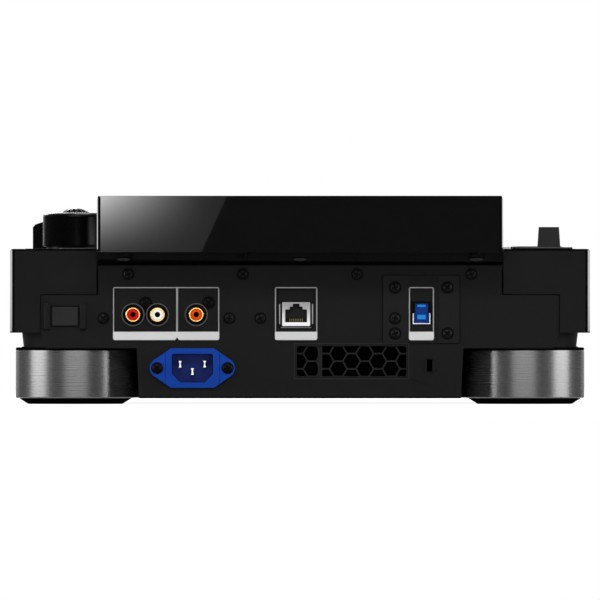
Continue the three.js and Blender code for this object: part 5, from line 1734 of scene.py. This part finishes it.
@dataclass
class Screen(Assembly):
    """The tilted screen housing with its glass and the screws under its overhang."""

    edge: float = 0.3
    tilt: float = SCREEN_TILT
    rear_foot: Place = (0.0, 226.5, 86.128)
    corner: tuple[Point, ...] = ((113.6, 3.0), (113.6, 0.0), (114.4, -0.8), (118.0, -32.0), (118.0, 3.0))
    corner_ends: Point = (-12.0, 42.0)
    line: tuple[Point, ...] = ((112.9, -0.1), (114.1, -0.7), (114.3, -0.64), (113.62, 0.05), (112.9, 0.05))
    shade_line_ends: Point = (0.5, 32.0)
    screws: tuple[Place, ...] = ((99.9, 208.0, 82.2), (0.0, 208.0, 82.2), (-99.9, 208.0, 82.2))

    def build(self) -> None:
        """Builds the housing, the near-black lines of painted shade along its rear corners, the glass and the
        countersunk screws.
        """
        lean = Matrix.Rotation(math.radians(self.tilt), 4, "X")
        leaning = Matrix.Translation(metres(self.rear_foot)) @ lean
        housing = Piece.from_node("screen_shell", "screen_housing")
        housing.cut(*tapers(self.corner, *self.corner_ends, leaning))
        housing.softened(self.edge, 3).done(GLOSS, stands_for=["screen_housing"])
        for name, side in SIDES:
            # Painted shade: thin near-black lines along the housing's tapered rear corners.
            line = Piece.prism(f"housing_line_{name}", on_side(self.line, side), *self.shade_line_ends)
            line.moved(leaning).smooth().done(RUBBER_AND_SHADE)
        screw = Screw(radius=4.0, rise=0.5, sunk=0.3, recess_depth=0.4, shade_ring_width=0.7)
        screw.place_all("overhang_screw", self.screws, Facing.DOWN, PLATE_SCREW, self.tilt)
        glass = Piece.from_node("touch_screen", "screen_glass")
        glass.softened(0.25, 2).done(GLASS, stands_for=["screen_glass"])


# User side


def deck_level() -> float:
    """Returns: the height of the deck's upper face, which lies 1 mm under the jog wheel's ring."""
    return Span.of("jog_ring").low.z - 1.0


def quarter(radius: float, top: float, edge: float, steps: Iterable[int]) -> list[Point]:
    """The rounded upper edge of a turned piece.

    Args:
        radius: the piece's outer radius.
        top: its upper face.
        edge: the radius of the edge.
        steps: which of the 15 degree steps are made.

    Returns:
        The edge's points, from the outside on.
    """
    turns = [math.radians(15 * step) for step in steps]
    return [
        (radius - edge + edge * math.cos(turn), top - edge + edge * math.sin(turn)) for turn in turns
    ]


@dataclass
class JogWheel(Assembly):
    """The jog wheel: a ring with finger dimples, a grooved platter and the fixed display."""

    ring_width: float = 17.0
    wall: float = 2.4
    edge: float = 3.0
    dimples: int = 24
    dimple_radius: float = 5.2
    dimple_depth: float = 1.6
    hub_bore: float = 20.3
    hub_wall: float = 6.0
    hub_low: float = 76.5
    recess_depth: float = 7.9
    gap: float = 0.6
    grooves: int = 9
    groove_width: float = 0.8
    groove_floor: float = 0.6
    groove_depth: float = 0.35
    colour: Colour = (0.05, 0.051, 0.054)
    steps: int = 160

    def build(self) -> None:
        """Builds the ring, the platter and the display."""
        ring = Span.of("jog_ring")
        place = (ring.middle.x, ring.middle.y, 0)
        outer, low, top = ring.size.x / 2, ring.low.z, ring.high.z
        inner = outer - self.ring_width
        self.ring(place, inner, outer, low, top)
        display = Span.of("jog_display")
        reach = display.size.x / 2
        self.platter(place, reach + self.gap, inner - 0.3, outer, top)
        base, crown = display.low.z, display.high.z
        puck = [
            (reach, base), (reach, crown - 1.2), (reach - 0.15, crown - 0.8), (reach - 0.6, crown - 0.5),
            (reach * 0.7, crown - 0.15), (reach * 0.3, crown), (0.5, crown),
        ]
        screen = Piece.turned("jog_screen", puck, place, Facing.UP, self.steps)
        screen.smooth().done(GLASS, stands_for=["jog_display"])
        bezel = [
            (reach - 2.2, crown - 0.45), (reach - 0.7, crown - 0.6), (reach - 0.7, crown - 0.35),
            (reach - 2.2, crown - 0.2), (reach - 2.2, crown - 0.45),
        ]
        Piece.turned("jog_screen_rim", bezel, place, Facing.UP, self.steps, True).smooth().done(DARK)

    def ring(self, place: Place, inner: float, outer: float, low: float, top: float) -> None:
        """The finger ring.

        Args:
            place: the middle.
            inner: its inner radius.
            outer: its outer radius.
            low: its lower edge.
            top: its upper face.
        """
        wall = outer - self.wall
        profile = [
            (inner, top - self.wall), (wall, top - self.edge - self.wall / 2), (wall, low),
            (outer - 0.4, low), (outer, low + 0.4), *quarter(outer, top, self.edge, range(7)),
            (inner + 0.4, top), (inner, top - 0.4), (inner, top - self.wall),
        ]
        piece = Piece.turned("finger_ring", profile, place, Facing.UP, self.steps, True)
        rise = self.dimple_radius - self.dimple_depth
        balls = []
        for x, y in ring_points(place[0], place[1], outer + rise / 2, self.dimples):
            only()
            bpy.ops.mesh.primitive_uv_sphere_add(
                segments=20, ring_count=12, radius=self.dimple_radius * MM,
                location=metres((x, y, top + rise / 4)),
            )
            balls.append(Piece.settled("ball"))
        piece.cut(balls[0].joined(*balls[1:])).smooth(50.0).done(KNOB, "jog_wheel", ["jog_ring"])

    def platter(self, place: Place, inner: float, outer: float, reach: float, top: float) -> None:
        """The top plate with its fine grooves, on a hub.

        Args:
            place: the middle.
            inner: the radius of its middle opening.
            outer: the radius of its upper face.
            reach: the radius of the ring that it carries.
            top: its upper face.
        """
        pitch = (outer - inner) / (self.grooves + 1)
        half, low = self.groove_width / 2, top - self.groove_depth
        foot = half * self.groove_floor
        face = [(outer, top - 0.3), (outer - 0.3, top)]
        for index in range(self.grooves):
            middle = outer - (index + 1) * pitch
            face += [(middle + half, top), (middle + foot, low), (middle - foot, low), (middle - half, top)]
        floor, bore, wall = top - self.recess_depth, self.hub_bore, self.wall
        hub = bore + self.hub_wall
        carrier, plate = reach - 2 * wall, top - 3 * wall
        profile = [
            (bore, self.hub_low), (hub, self.hub_low), (hub, floor - wall), (inner + wall, floor - wall),
            (inner + wall, plate), (carrier, plate), (carrier, plate + wall / 2), (outer, plate + wall),
            *face, (inner + 0.3, top), (inner, top - 0.3), (inner, floor), (bore, floor),
            (bore, self.hub_low),
        ]
        finish = TurnedFace(
            "jog_face", "jog_metal", self.colour, centre=(place[0], place[1]), metallic=0.7, roughness=0.32
        )
        plate = Piece.turned("platter_face", profile, place, Facing.UP, self.steps, True)
        plate.smooth(25.0).done(finish, "jog_wheel", ["jog_platter"])


@dataclass
class RoundKey:
    """A round transport button with a light ring and a printed sign."""

    node: str
    radius: float
    sign: Sequence[Sequence[Point]] = ()
    light: Point = (5.6, 4.4)
    steps: int = 96

    def build(self) -> None:
        """Builds the cap, its ring and its sign."""
        span = Span.of(self.node)
        x, y, low, top = span.middle.x, span.middle.y, span.low.z, span.high.z
        flange, r, ledge = span.size.x / 2, self.radius, span.low.z + 1.0
        profile = [
            (flange, low), (flange, ledge), (r, ledge), (r, top - 0.9), (r - 0.25, top - 0.4),
            (r - 0.8, top - 0.1), (r - 1.4, top), (r - 4.2, top - 0.35), (1.0, top - 0.6),
        ]
        cap = Piece.turned(f"{self.node}_cap", profile, (x, y, 0), Facing.UP, self.steps)
        cap.smooth().done(KEY_BLACK, self.node, [self.node])
        level = top - 0.32
        inner, outer, base = r - self.light[0], r - self.light[1], level - 0.4
        light = [(inner, base), (outer, base), (outer, level), (inner, level - 0.05), (inner, base)]
        ring = Piece.turned(f"{self.node}_light", light, (x, y, 0), Facing.UP, self.steps, True)
        ring.smooth().done(PAD, self.node)
        for index, outline in enumerate(self.sign):
            points = [(x + across, y + along) for across, along in outline]
            sign = Piece.prism(f"{self.node}_sign_{index + 1}", points, top - 0.6, top - 0.45)
            sign.smooth().done(PRINT, self.node)


@dataclass
class Keys(Assembly):
    """Every key of the deck: softened caps with plain signs."""

    edge: float = 0.45
    sink: float = 0.45
    arrow_half: float = 2.0
    bar_place: float = 3.4
    bar_size: Point = (0.9, 4.0)
    pause_size: Point = (1.2, 5.2)

    def arrow(self, x: float, half: float, way: int) -> list[Point]:
        """Returns: a triangle that points to the right, or with way -1 to the left."""
        return [(x - way * half, -half), (x + way * half, 0), (x - way * half, half)][::way]

    def bar(self, x: float, size: Point) -> list[Point]:
        """Returns: an upright bar of a sign."""
        return rounded(x, 0, *size, 0.2, 2)

    def sign(self, node: str, outlines: Sequence[Sequence[Point]]) -> None:
        """Prints a sign on a key.

        Args:
            node: the key.
            outlines: the sign's outlines, from the key's middle.
        """
        span = Span.of(node)
        top = span.high.z - self.sink
        for index, outline in enumerate(outlines):
            points = [(span.middle.x + across, span.middle.y + along) for across, along in outline]
            name = f"{node}_sign_{index + 1}"
            piece = Piece.prism(name, points, top - 0.04, top + 0.05)
            piece.smooth().done(PRINT, node)

    def cap(self, node: str, finish: Finish) -> None:
        """Builds a key's cap, which is lower where it is black.

        Args:
            node: the key.
            finish: its finish.
        """
        cap = Piece.from_node(f"{node}_cap", node)
        if finish is KEY_BLACK:
            top = Span.of(node).high.z
            cap.edit(
                Part.POINTS, lambda point, vertex: point.z > top - 0.05,
                lambda: bpy.ops.transform.translate(value=(0, 0, -self.sink * MM)),
            )
        cap.softened(self.edge, 3, 50).done(finish, node, [node])

    def build(self) -> None:
        """Builds the caps and their signs."""
        groups = {
            PAD: [f"hot_cue_{letter}" for letter in "abcdefgh"],
            GREY_KEY: ["loop_in_key", "loop_out_key", "reloop_key"],
            KEY_BLACK: [
                "track_back_key", "track_forward_key", "search_back_key", "search_forward_key",
                "beat_sync_key", "master_key", "master_tempo_key", "back_key", "tag_key",
            ],
        }
        for finish, nodes in groups.items():
            for node in nodes:
                self.cap(node, finish)
        half, place, arrow = self.arrow_half, self.bar_place, self.arrow
        back = on_side(self.bar(place, self.bar_size), -1)
        forward = on_side(self.bar(-place, self.bar_size), -1)
        marks = {
            "track_back_key": (back, arrow(-1, half, -1), arrow(2.6, half, -1)),
            "track_forward_key": (forward, arrow(1, half, 1), arrow(-2.6, half, 1)),
            "search_back_key": (arrow(-2.2, half, -1), arrow(2.0, half, -1)),
            "search_forward_key": (arrow(2.2, half, 1), arrow(-2.0, half, 1)),
        }
        for node, outlines in marks.items():
            self.sign(node, outlines)
        play = (arrow(-3.4, 2.6, 1), self.bar(2.0, self.pause_size), self.bar(4.6, self.pause_size))
        RoundKey("play_button", 19.0, play).build()
        RoundKey("cue_button", 18.0, (ring_points(0, 0, 2.2, 32),)).build()


def ribbed(x: float, y: float, radius: float, ribs: int, dip: float) -> list[Point]:
    """The outline of a grip with round ribs.

    Args:
        x: the middle across.
        y: the middle along.
        radius: the radius over the ribs.
        ribs: the number of ribs.
        dip: the depth between them.

    Returns:
        The outline's points.
    """
    steps = ribs * 6
    points = []
    for step in range(steps):
        angle = 2 * math.pi * step / steps
        reach = radius - dip * (0.5 - 0.5 * math.cos(angle * ribs)) ** 2
        points.append((x + reach * math.cos(angle), y + reach * math.sin(angle)))
    return points


@dataclass
class Selector(Assembly):
    """The rotary selector with its ribbed grip."""

    edge: float = 2.4
    spare: float = 0.8
    wall: float = 1.4
    skirt: float = 2.0
    grip_radius: float = 8.8
    grip_rise: float = 2.8
    ribs: int = 14
    groove: Point = (4.6, 1.5)
    groove_place: float = 0.68
    groove_lean: float = 19.0
    groove_depth: float = 2.5
    steps: int = 128

    def build(self) -> None:
        """Builds the knob, the fixed collar under it and its grip."""
        span = Span.of("selector_knob")
        x, y, radius = span.middle.x, span.middle.y, span.size.x / 2 + self.spare
        low, top = span.low.z, span.high.z - self.grip_rise
        edge, room, step, dish = self.edge, radius - self.wall, low + self.skirt, top - 0.15
        profile = [
            (5.0, step), (room, step), (room, low), (radius - 0.7, low), (radius - 0.2, low + 0.25),
            (radius, low + 0.9), (radius, top - edge), *quarter(radius, top, edge, range(1, 6)),
            (radius - edge - 0.2, top), (radius - edge - 0.6, dish), (self.grip_radius + 0.6, dish),
            (self.grip_radius * 0.5, dish),
        ]
        cap = Piece.turned("selector_cap", profile, (x, y, 0), Facing.UP, self.steps)
        cap.smooth().done(KNOB, "selector", ["selector_knob"])
        deck, crown = deck_level(), step - 0.9
        profile = [
            (7.0, deck), (room - 0.7, deck), (room - 0.7, step - 1.3), (room - 1.1, crown), (7.0, crown),
            (7.0, deck),
        ]
        collar = Piece.turned("selector_collar", profile, (x, y, 0), Facing.UP, 96, True)
        collar.smooth().done(DARK)
        self.dome((x, y, top))

    def dome(self, place: Place) -> None:
        """The domed grip, ribbed right over its top.

        Args:
            place: the middle of its foot.
        """
        x, y, base = place
        reach, rise = self.grip_radius, self.grip_rise
        ball = (reach**2 + rise**2) / (2 * rise)
        arc = [math.asin(reach / ball) * (1 - step / 8) for step in range(8)]
        crown = [(ball * math.sin(turn), ball * math.cos(turn) - ball + rise) for turn in arc]
        profile = [(reach, -0.6), *crown, (0.4, rise)]
        dome = Piece.turned("selector_grip", profile, place, Facing.UP, 96)
        lift = Matrix.Rotation(math.radians(self.groove_lean), 4, "Y")
        grooves = []
        for across, along in ring_points(0, 0, reach * self.groove_place, self.ribs, 180 / self.ribs):
            turn = Matrix.Rotation(math.atan2(along, across), 4, "Z")
            outline = rounded(0, 0, *self.groove, 0.7, 4)
            groove = Piece.prism("groove", outline, rise - self.groove_depth, rise + 1)
            groove.moved(Matrix.Translation(metres((x + across, y + along, base))) @ turn @ lift)
            grooves.append(groove)
        dome.cut(grooves[0].joined(*grooves[1:])).softened(0.15, 2, 30).done(KNOB, "selector")


@dataclass
class SmallKnobs(Assembly):
    """The two small knobs, each with its pointer and its dial marks."""

    lift: float = 0.7
    ribs: int = 30
    rib_depth: float = 0.35
    skirt: float = 2.0
    marks: int = 11
    mark_gap: float = 1.1
    long_mark: float = 1.9
    short_mark: float = 1.2
    sweep: float = 280.0

    def dial(self, node: str, place: Place, reach: float) -> None:
        """Prints the marks round a knob.

        Args:
            node: the knob.
            place: the knob's middle, on the deck.
            reach: where the marks start.
        """
        x, y, deck = place
        for index in range(self.marks):
            angle = math.radians(90 + self.sweep / 2 - self.sweep * index / (self.marks - 1))
            length = self.short_mark if index % 5 else self.long_mark
            end = (reach + length, 0.16, deck + 0.05)
            tick = Piece.block(f"{node}_tick_{index + 1}", (reach, -0.16, deck), end)
            turn = Matrix.Rotation(angle, 4, "Z")
            tick.moved(Matrix.Translation(metres((x, y, 0))) @ turn).smooth().done(PRINT)

    def build(self) -> None:
        """Builds both knobs and their dials."""
        deck = deck_level()
        for node, body in (("jog_adjust_knob", "jog_adjust"), ("vinyl_speed_knob", "vinyl_speed")):
            span = Span.of(node)
            x, y, radius = span.middle.x, span.middle.y, span.size.x / 2
            top, low = span.high.z, deck + self.lift
            step = low + self.skirt
            profile = [
                (radius - 0.2, low), (radius, low + 0.3), (radius, step - 0.4), (radius - 0.4, step),
                (radius - 1.6, step + 0.2),
            ]
            skirt = Piece.turned(f"{node}_skirt", profile, (x, y, 0), Facing.UP, 96)
            skirt.smooth().done(KNOB, body, [node])
            outline = ribbed(x, y, radius - 0.7, self.ribs, self.rib_depth)
            grip = Piece.prism(f"{node}_grip", outline, step, top)
            grip.bevelled(lambda middle, way: middle.z > top - 0.01, 0.7, 3).smooth(35.0).done(KNOB, body)
            start = (x - 0.45, y + 1.2, top - 0.1)
            end = (x + 0.45, y + radius - 1.5, top + 0.06)
            Piece.block(f"{node}_pointer", start, end).softened(0.04, 1).done(PRINT, body)
            self.dial(node, (x, y, deck), radius + self.mark_gap)


@dataclass
class TempoSlider(Assembly):
    """The tempo slider's cap with its scooped grip, and the printed scale beside it."""

    lift: float = 0.8
    shoulder: float = 3.0
    slope: Point = (1.6, 1.2)
    spare: float = 3.0
    top_width: float = 21.0
    scoop_depth: float = 3.0
    stem: Point = (2.0, 6.8)
    line_sunk: Point = (3.1, 2.92)
    ticks: int = 21
    tick_gap: float = 1.8
    travel: float = 100.0

    def scale(self, start: float, y: float, deck: float) -> None:
        """Prints the scale beside the slot.

        Args:
            start: where its marks start across.
            y: the middle of the slider's travel.
            deck: the height of the deck.
        """
        for index in range(self.ticks):
            place = y + self.travel * (index / (self.ticks - 1) - 0.5)
            length = 4.6 if index % 10 == 0 else 3.2 if index % 5 == 0 else 2.2
            low = (start, place - 0.17, deck)
            high = (start + length, place + 0.17, deck + 0.05)
            Piece.block(f"tempo_tick_{index + 1}", low, high).smooth().done(PRINT)

    def build(self) -> None:
        """Builds the cap, its stem, its line and the scale."""
        span = Span.of("tempo_slider_knob")
        deck = deck_level()
        x, y = span.middle.x, span.middle.y
        half, length = span.size.x / 2 + self.spare, span.size.y / 2
        top, low = span.high.z, deck + self.lift
        brow, waist, slope = self.top_width / 2, half - self.slope[0], top - self.slope[1]
        side = [
            (-half, low), (half, low), (half, top - self.shoulder), (waist, slope),
            (brow, top), (-brow, top), (-waist, slope), (-half, top - self.shoulder),
        ]
        outline = [(x + across, z) for across, z in side]
        cap = raised("slider_cap", outline, y - length, y + length)
        centre = top + length - self.scoop_depth
        scoop = ring_points(y, centre, length, 96)
        cap.cut(Piece.prism("scoop", scoop, x - half * 2, x + half * 2, Facing.SIDE))
        cap.softened(0.7, 3, 35).done(KNOB, "tempo_slider", ["tempo_slider_knob"])
        wide, long = (size / 2 for size in self.stem)
        stem = Piece.block("slider_stem", (x - wide, y - long, span.low.z), (x + wide, y + long, low + 1))
        stem.softened(0.2).done(DARK, "tempo_slider")
        reach, (base, face) = brow - 1.2, (top - sunk for sunk in self.line_sunk)
        start, end = (x - reach, y - 0.35, base), (x + reach, y + 0.35, face)
        Piece.block("slider_line", start, end).softened(0.04, 1).done(PRINT, "tempo_slider")
        self.scale(x + half + self.tick_gap, y, deck)


@dataclass
class SmallControls(Assembly):
    """The direction lever, the media module and its card door."""

    lever_edge: float = 0.7
    edge: float = 0.3

    def build(self) -> None:
        """Builds the lever, the module and its door."""
        lever = Piece.from_node("lever_paddle", "direction_lever").softened(self.lever_edge, 3, 30)
        lever.done(DARK, "direction_lever", ["direction_lever"])
        module = Piece.from_node("module_body", "media_module").softened(self.edge, 2)
        module.done(MODULE, stands_for=["media_module"])
        door = Piece.from_node("card_door", "memory_card_door").softened(0.2, 2)
        door.done(KEY_BLACK, "memory_card_door", ["memory_card_door"])


# Stage


@dataclass
class Studio:
    """Floor, backdrop, lamps and camera."""

    view_width: float = 340.2
    view_height: float = 59.0
    distance: float = 16.0
    sensor: float = 36.0
    rear: Place = (0.0, 0.19, 0.05)
    floor_white: Colour = (0.82, 0.82, 0.83)
    floor_dull: Colour = (0.1, 0.1, 0.1)
    card_reach: float = 1.2
    card_face: Place = (0.0, 0.2231, 0.102)
    card_corners: tuple[Point, ...] = ((240, 24), (39.2, 24), (240, -24), (60.7, -24))
    card_dark: float = 0.44
    card_bright: float = 13.4

    def camera(self) -> None:
        """Places the camera where the photograph was taken from, straight behind the deck."""
        data = bpy.data.cameras.new("camera")
        data.sensor_width = self.sensor
        data.lens = self.sensor * self.distance / (self.view_width * MM)
        data.clip_start, data.clip_end = 0.1, 100.0
        thing = bpy.data.objects.new("camera", data)
        thing.location = (0.0, self.distance + self.rear[1], self.view_height * MM)
        thing.rotation_euler = (math.radians(90), 0, math.radians(180))
        bpy.context.scene.collection.objects.link(thing)
        bpy.context.scene.camera = thing

    def world(self) -> None:
        """A white backdrop with a dim room for everything that isn't background."""
        world = bpy.data.worlds.new("studio")
        bpy.context.scene.world = world
        world.use_nodes = True
        graph = Graph(world.node_tree)
        direction = graph.node("ShaderNodeTexCoord", output="Generated")
        x, y, z = graph.axes(direction)
        rear = y.ramp(-0.25, 0.45)
        room = 0.07 + z.ramp(0.0, 0.9) * 0.5 + (x * 1.6).wave().ramp(-1.0, 1.0) * 0.06
        behind = 0.035 + z.ramp(0.5, 1.0) * 0.3
        dome = room * (1 - rear) + rear * behind + y.ramp(-0.92, -0.7, 0.95, 0.0)
        seen = graph.ray("Is Camera Ray")
        strength = seen + (1 - seen) * dome
        light = graph.node("ShaderNodeBackground", sockets={"Color": WHITE_LIGHT, "Strength": strength})
        graph.node("ShaderNodeOutputWorld", sockets={"Surface": light})

    def plane(self, name: str, size: float, place: Place, paint: str) -> tuple[bpy.types.Object, Graph]:
        """A plane of the stage with a new material.

        Args:
            name: its name.
            size: its size in metres.
            place: its middle in metres.
            paint: its material's name.

        Returns:
            The plane and the wrapper of its empty node tree.
        """
        only()
        bpy.ops.mesh.primitive_plane_add(size=size, location=place)
        thing = bpy.context.object
        thing.name = name
        material = bpy.data.materials.new(paint)
        material.use_nodes = True
        thing.data.materials.append(material)
        return thing, Graph(material.node_tree)

    def floor(self) -> None:
        """A plain pale floor that keeps a soft shadow, paints a glint where it is reflected close up, and can
        be seen through from below.
        """
        _, graph = self.plane("floor", 40.0, (0, 0, -0.0002), "floor_paint")
        matt = graph.matt(self.floor_white)
        far = graph.length(graph.place()).ramp(0.7, 2.5)
        lit = graph.node("ShaderNodeAddShader", sockets={
            0: graph.glow(0.9), 1: graph.mix(0.75, matt, graph.glow(0.0)),
        })
        near = graph.mix(far, lit, graph.glow(1.0))
        # Painted highlight: in reflections the floor is dull, but glows where it lies within 14 mm of the
        # reflecting surface, lighting the feet's lower edges.
        painted_glint_reach = graph.ray("Ray Length").below(0.014)
        sheen = graph.mix(painted_glint_reach, graph.matt(self.floor_dull), graph.glow(0.8))
        unseen = graph.mix(graph.ray("Is Glossy Ray"), matt, sheen)
        shown = graph.mix(graph.ray("Is Camera Ray"), unseen, near)
        below = graph.node("ShaderNodeNewGeometry", output="Backfacing")
        whole = graph.mix(below, shown, graph.node("ShaderNodeBsdfTransparent"))
        graph.node("ShaderNodeOutputMaterial", sockets={"Surface": whole})

    def card(self) -> None:
        """A bright slanted card whose faded reflection lies on the glossy rear face."""
        thing, graph = self.plane("reflector_card", 1.0, (0, 0, 0), "card_light")
        spread = 1 + self.card_reach / self.distance
        turn = math.radians(2 * SCREEN_TILT)
        out, along = Vector((0, math.cos(turn), math.sin(turn))), Vector((0, -math.sin(turn), math.cos(turn)))
        middle = Vector(self.card_face) + out * self.card_reach
        for vertex, (across, up) in zip(thing.data.vertices, self.card_corners):
            shift = Vector((across * MM * spread, 0, 0))
            vertex.co = middle + along * (up * MM * spread) + shift
        x, _, z = graph.axes(graph.place())
        across = ((x / (spread * MM) - 44.2) / 70.9).larger(0.0).smaller(0.97)
        height = (z - middle.z) / (math.cos(turn) * spread * MM)
        up = ((height + 24.5) / 42.5).larger(0.0).smaller(1.0)
        light = graph.glow(self.card_dark + (across**2.2) * (up**2.3) * self.card_bright)
        graph.node("ShaderNodeOutputMaterial", sockets={"Surface": light})
        thing.visible_camera = False
        thing.visible_diffuse = False
        thing.visible_shadow = False
        thing.visible_transmission = False

    def lamp(self, name: str, place: Place, aim: Place, size: Point, power: float) -> None:
        """A rectangular soft lamp.

        Args:
            name: its name.
            place: where it hangs, in metres.
            aim: the point that it faces, in metres.
            size: its width and height, in metres.
            power: its power in watts.
        """
        data = bpy.data.lights.new(name, "AREA")
        data.shape = "RECTANGLE"
        data.size, data.size_y = size
        data.energy = power
        thing = bpy.data.objects.new(name, data)
        thing.location = place
        thing.rotation_euler = (Vector(place) - Vector(aim)).to_track_quat("Z", "Y").to_euler()
        thing.visible_camera = False
        bpy.context.scene.collection.objects.link(thing)

    def shade(self) -> None:
        """Keeps a lamp off the pieces that would show a hard mirror image of it."""
        shades = (
            (("strip_left", "strip_right"), ("selector_cap", "slider_cap", "screen_shell")),
            (("rear_fill",), ("selector_cap", "slider_cap")),
            (("overhead",), ("touch_screen", "jog_screen")),
        )
        for number, (lamps, pieces) in enumerate(shades):
            group = bpy.data.collections.new(f"in_shade_{number + 1}")
            for name in pieces:
                group.objects.link(bpy.data.objects[name])
            for entry in group.collection_objects:
                entry.light_linking.link_state = "EXCLUDE"
            for name in lamps:
                bpy.data.objects[name].light_linking.receiver_collection = group

    def build(self) -> None:
        """Sets the stage."""
        self.camera()
        self.world()
        self.floor()
        self.card()
        self.lamp("strip_left", (4.03, 1.15, 0.75), self.rear, (2.6, 2.0), 122.0)
        self.lamp("strip_right", (-4.03, 1.15, 0.75), self.rear, (2.6, 2.0), 122.0)
        self.lamp("rear_fill", (0, 3.2, 0.35), self.rear, (2.5, 1.0), 21.0)
        self.lamp("rear_key", (0, 2.7, 1.75), self.rear, (2.0, 0.5), 30.0)
        self.lamp("overhead", (-0.4, -0.1, 2.2), (0, 0, 0), (1.6, 1.2), 40.0)
        self.lamp("front_fill", (0.8, -2.6, 1.4), (0, 0, 0.05), (1.6, 1.0), 60.0)
        bpy.context.scene.view_settings.view_transform = "Standard"


def dress_hidden_nodes() -> None:
    """Dresses the frame nodes that keep their shape."""
    for finish, nodes in (
        (BOARD, ("main_board", "power_supply_board")),
        (DARK, ("display_panel",)),
        (PLATED, ("selector_encoder", "selector_shaft", "jog_bearing_post")),
        (SPRING, ("tempo_slider_body",)),
    ):
        for node in nodes:
            dress_node(node, finish)


def main() -> None:
    """Builds every sub-assembly in order."""
    logging.basicConfig(level=logging.INFO, format="%(message)s")
    stage = Studio()
    stage.build()
    assemblies: list[Assembly] = [
        Case(), RearPanel(), SocketBlocks(), MainsInlet(), NetworkSocket(), ComputerSocket(), Vent(),
        PowerButton(), Feet(), Screen(), JogWheel(), Keys(), Selector(), SmallKnobs(), TempoSlider(),
        SmallControls(),
    ]
    for assembly in assemblies:
        LOG.info("Building %s", type(assembly).__name__)
        assembly.build()
    dress_hidden_nodes()
    stage.shade()


if __name__ == "__main__":
    main()
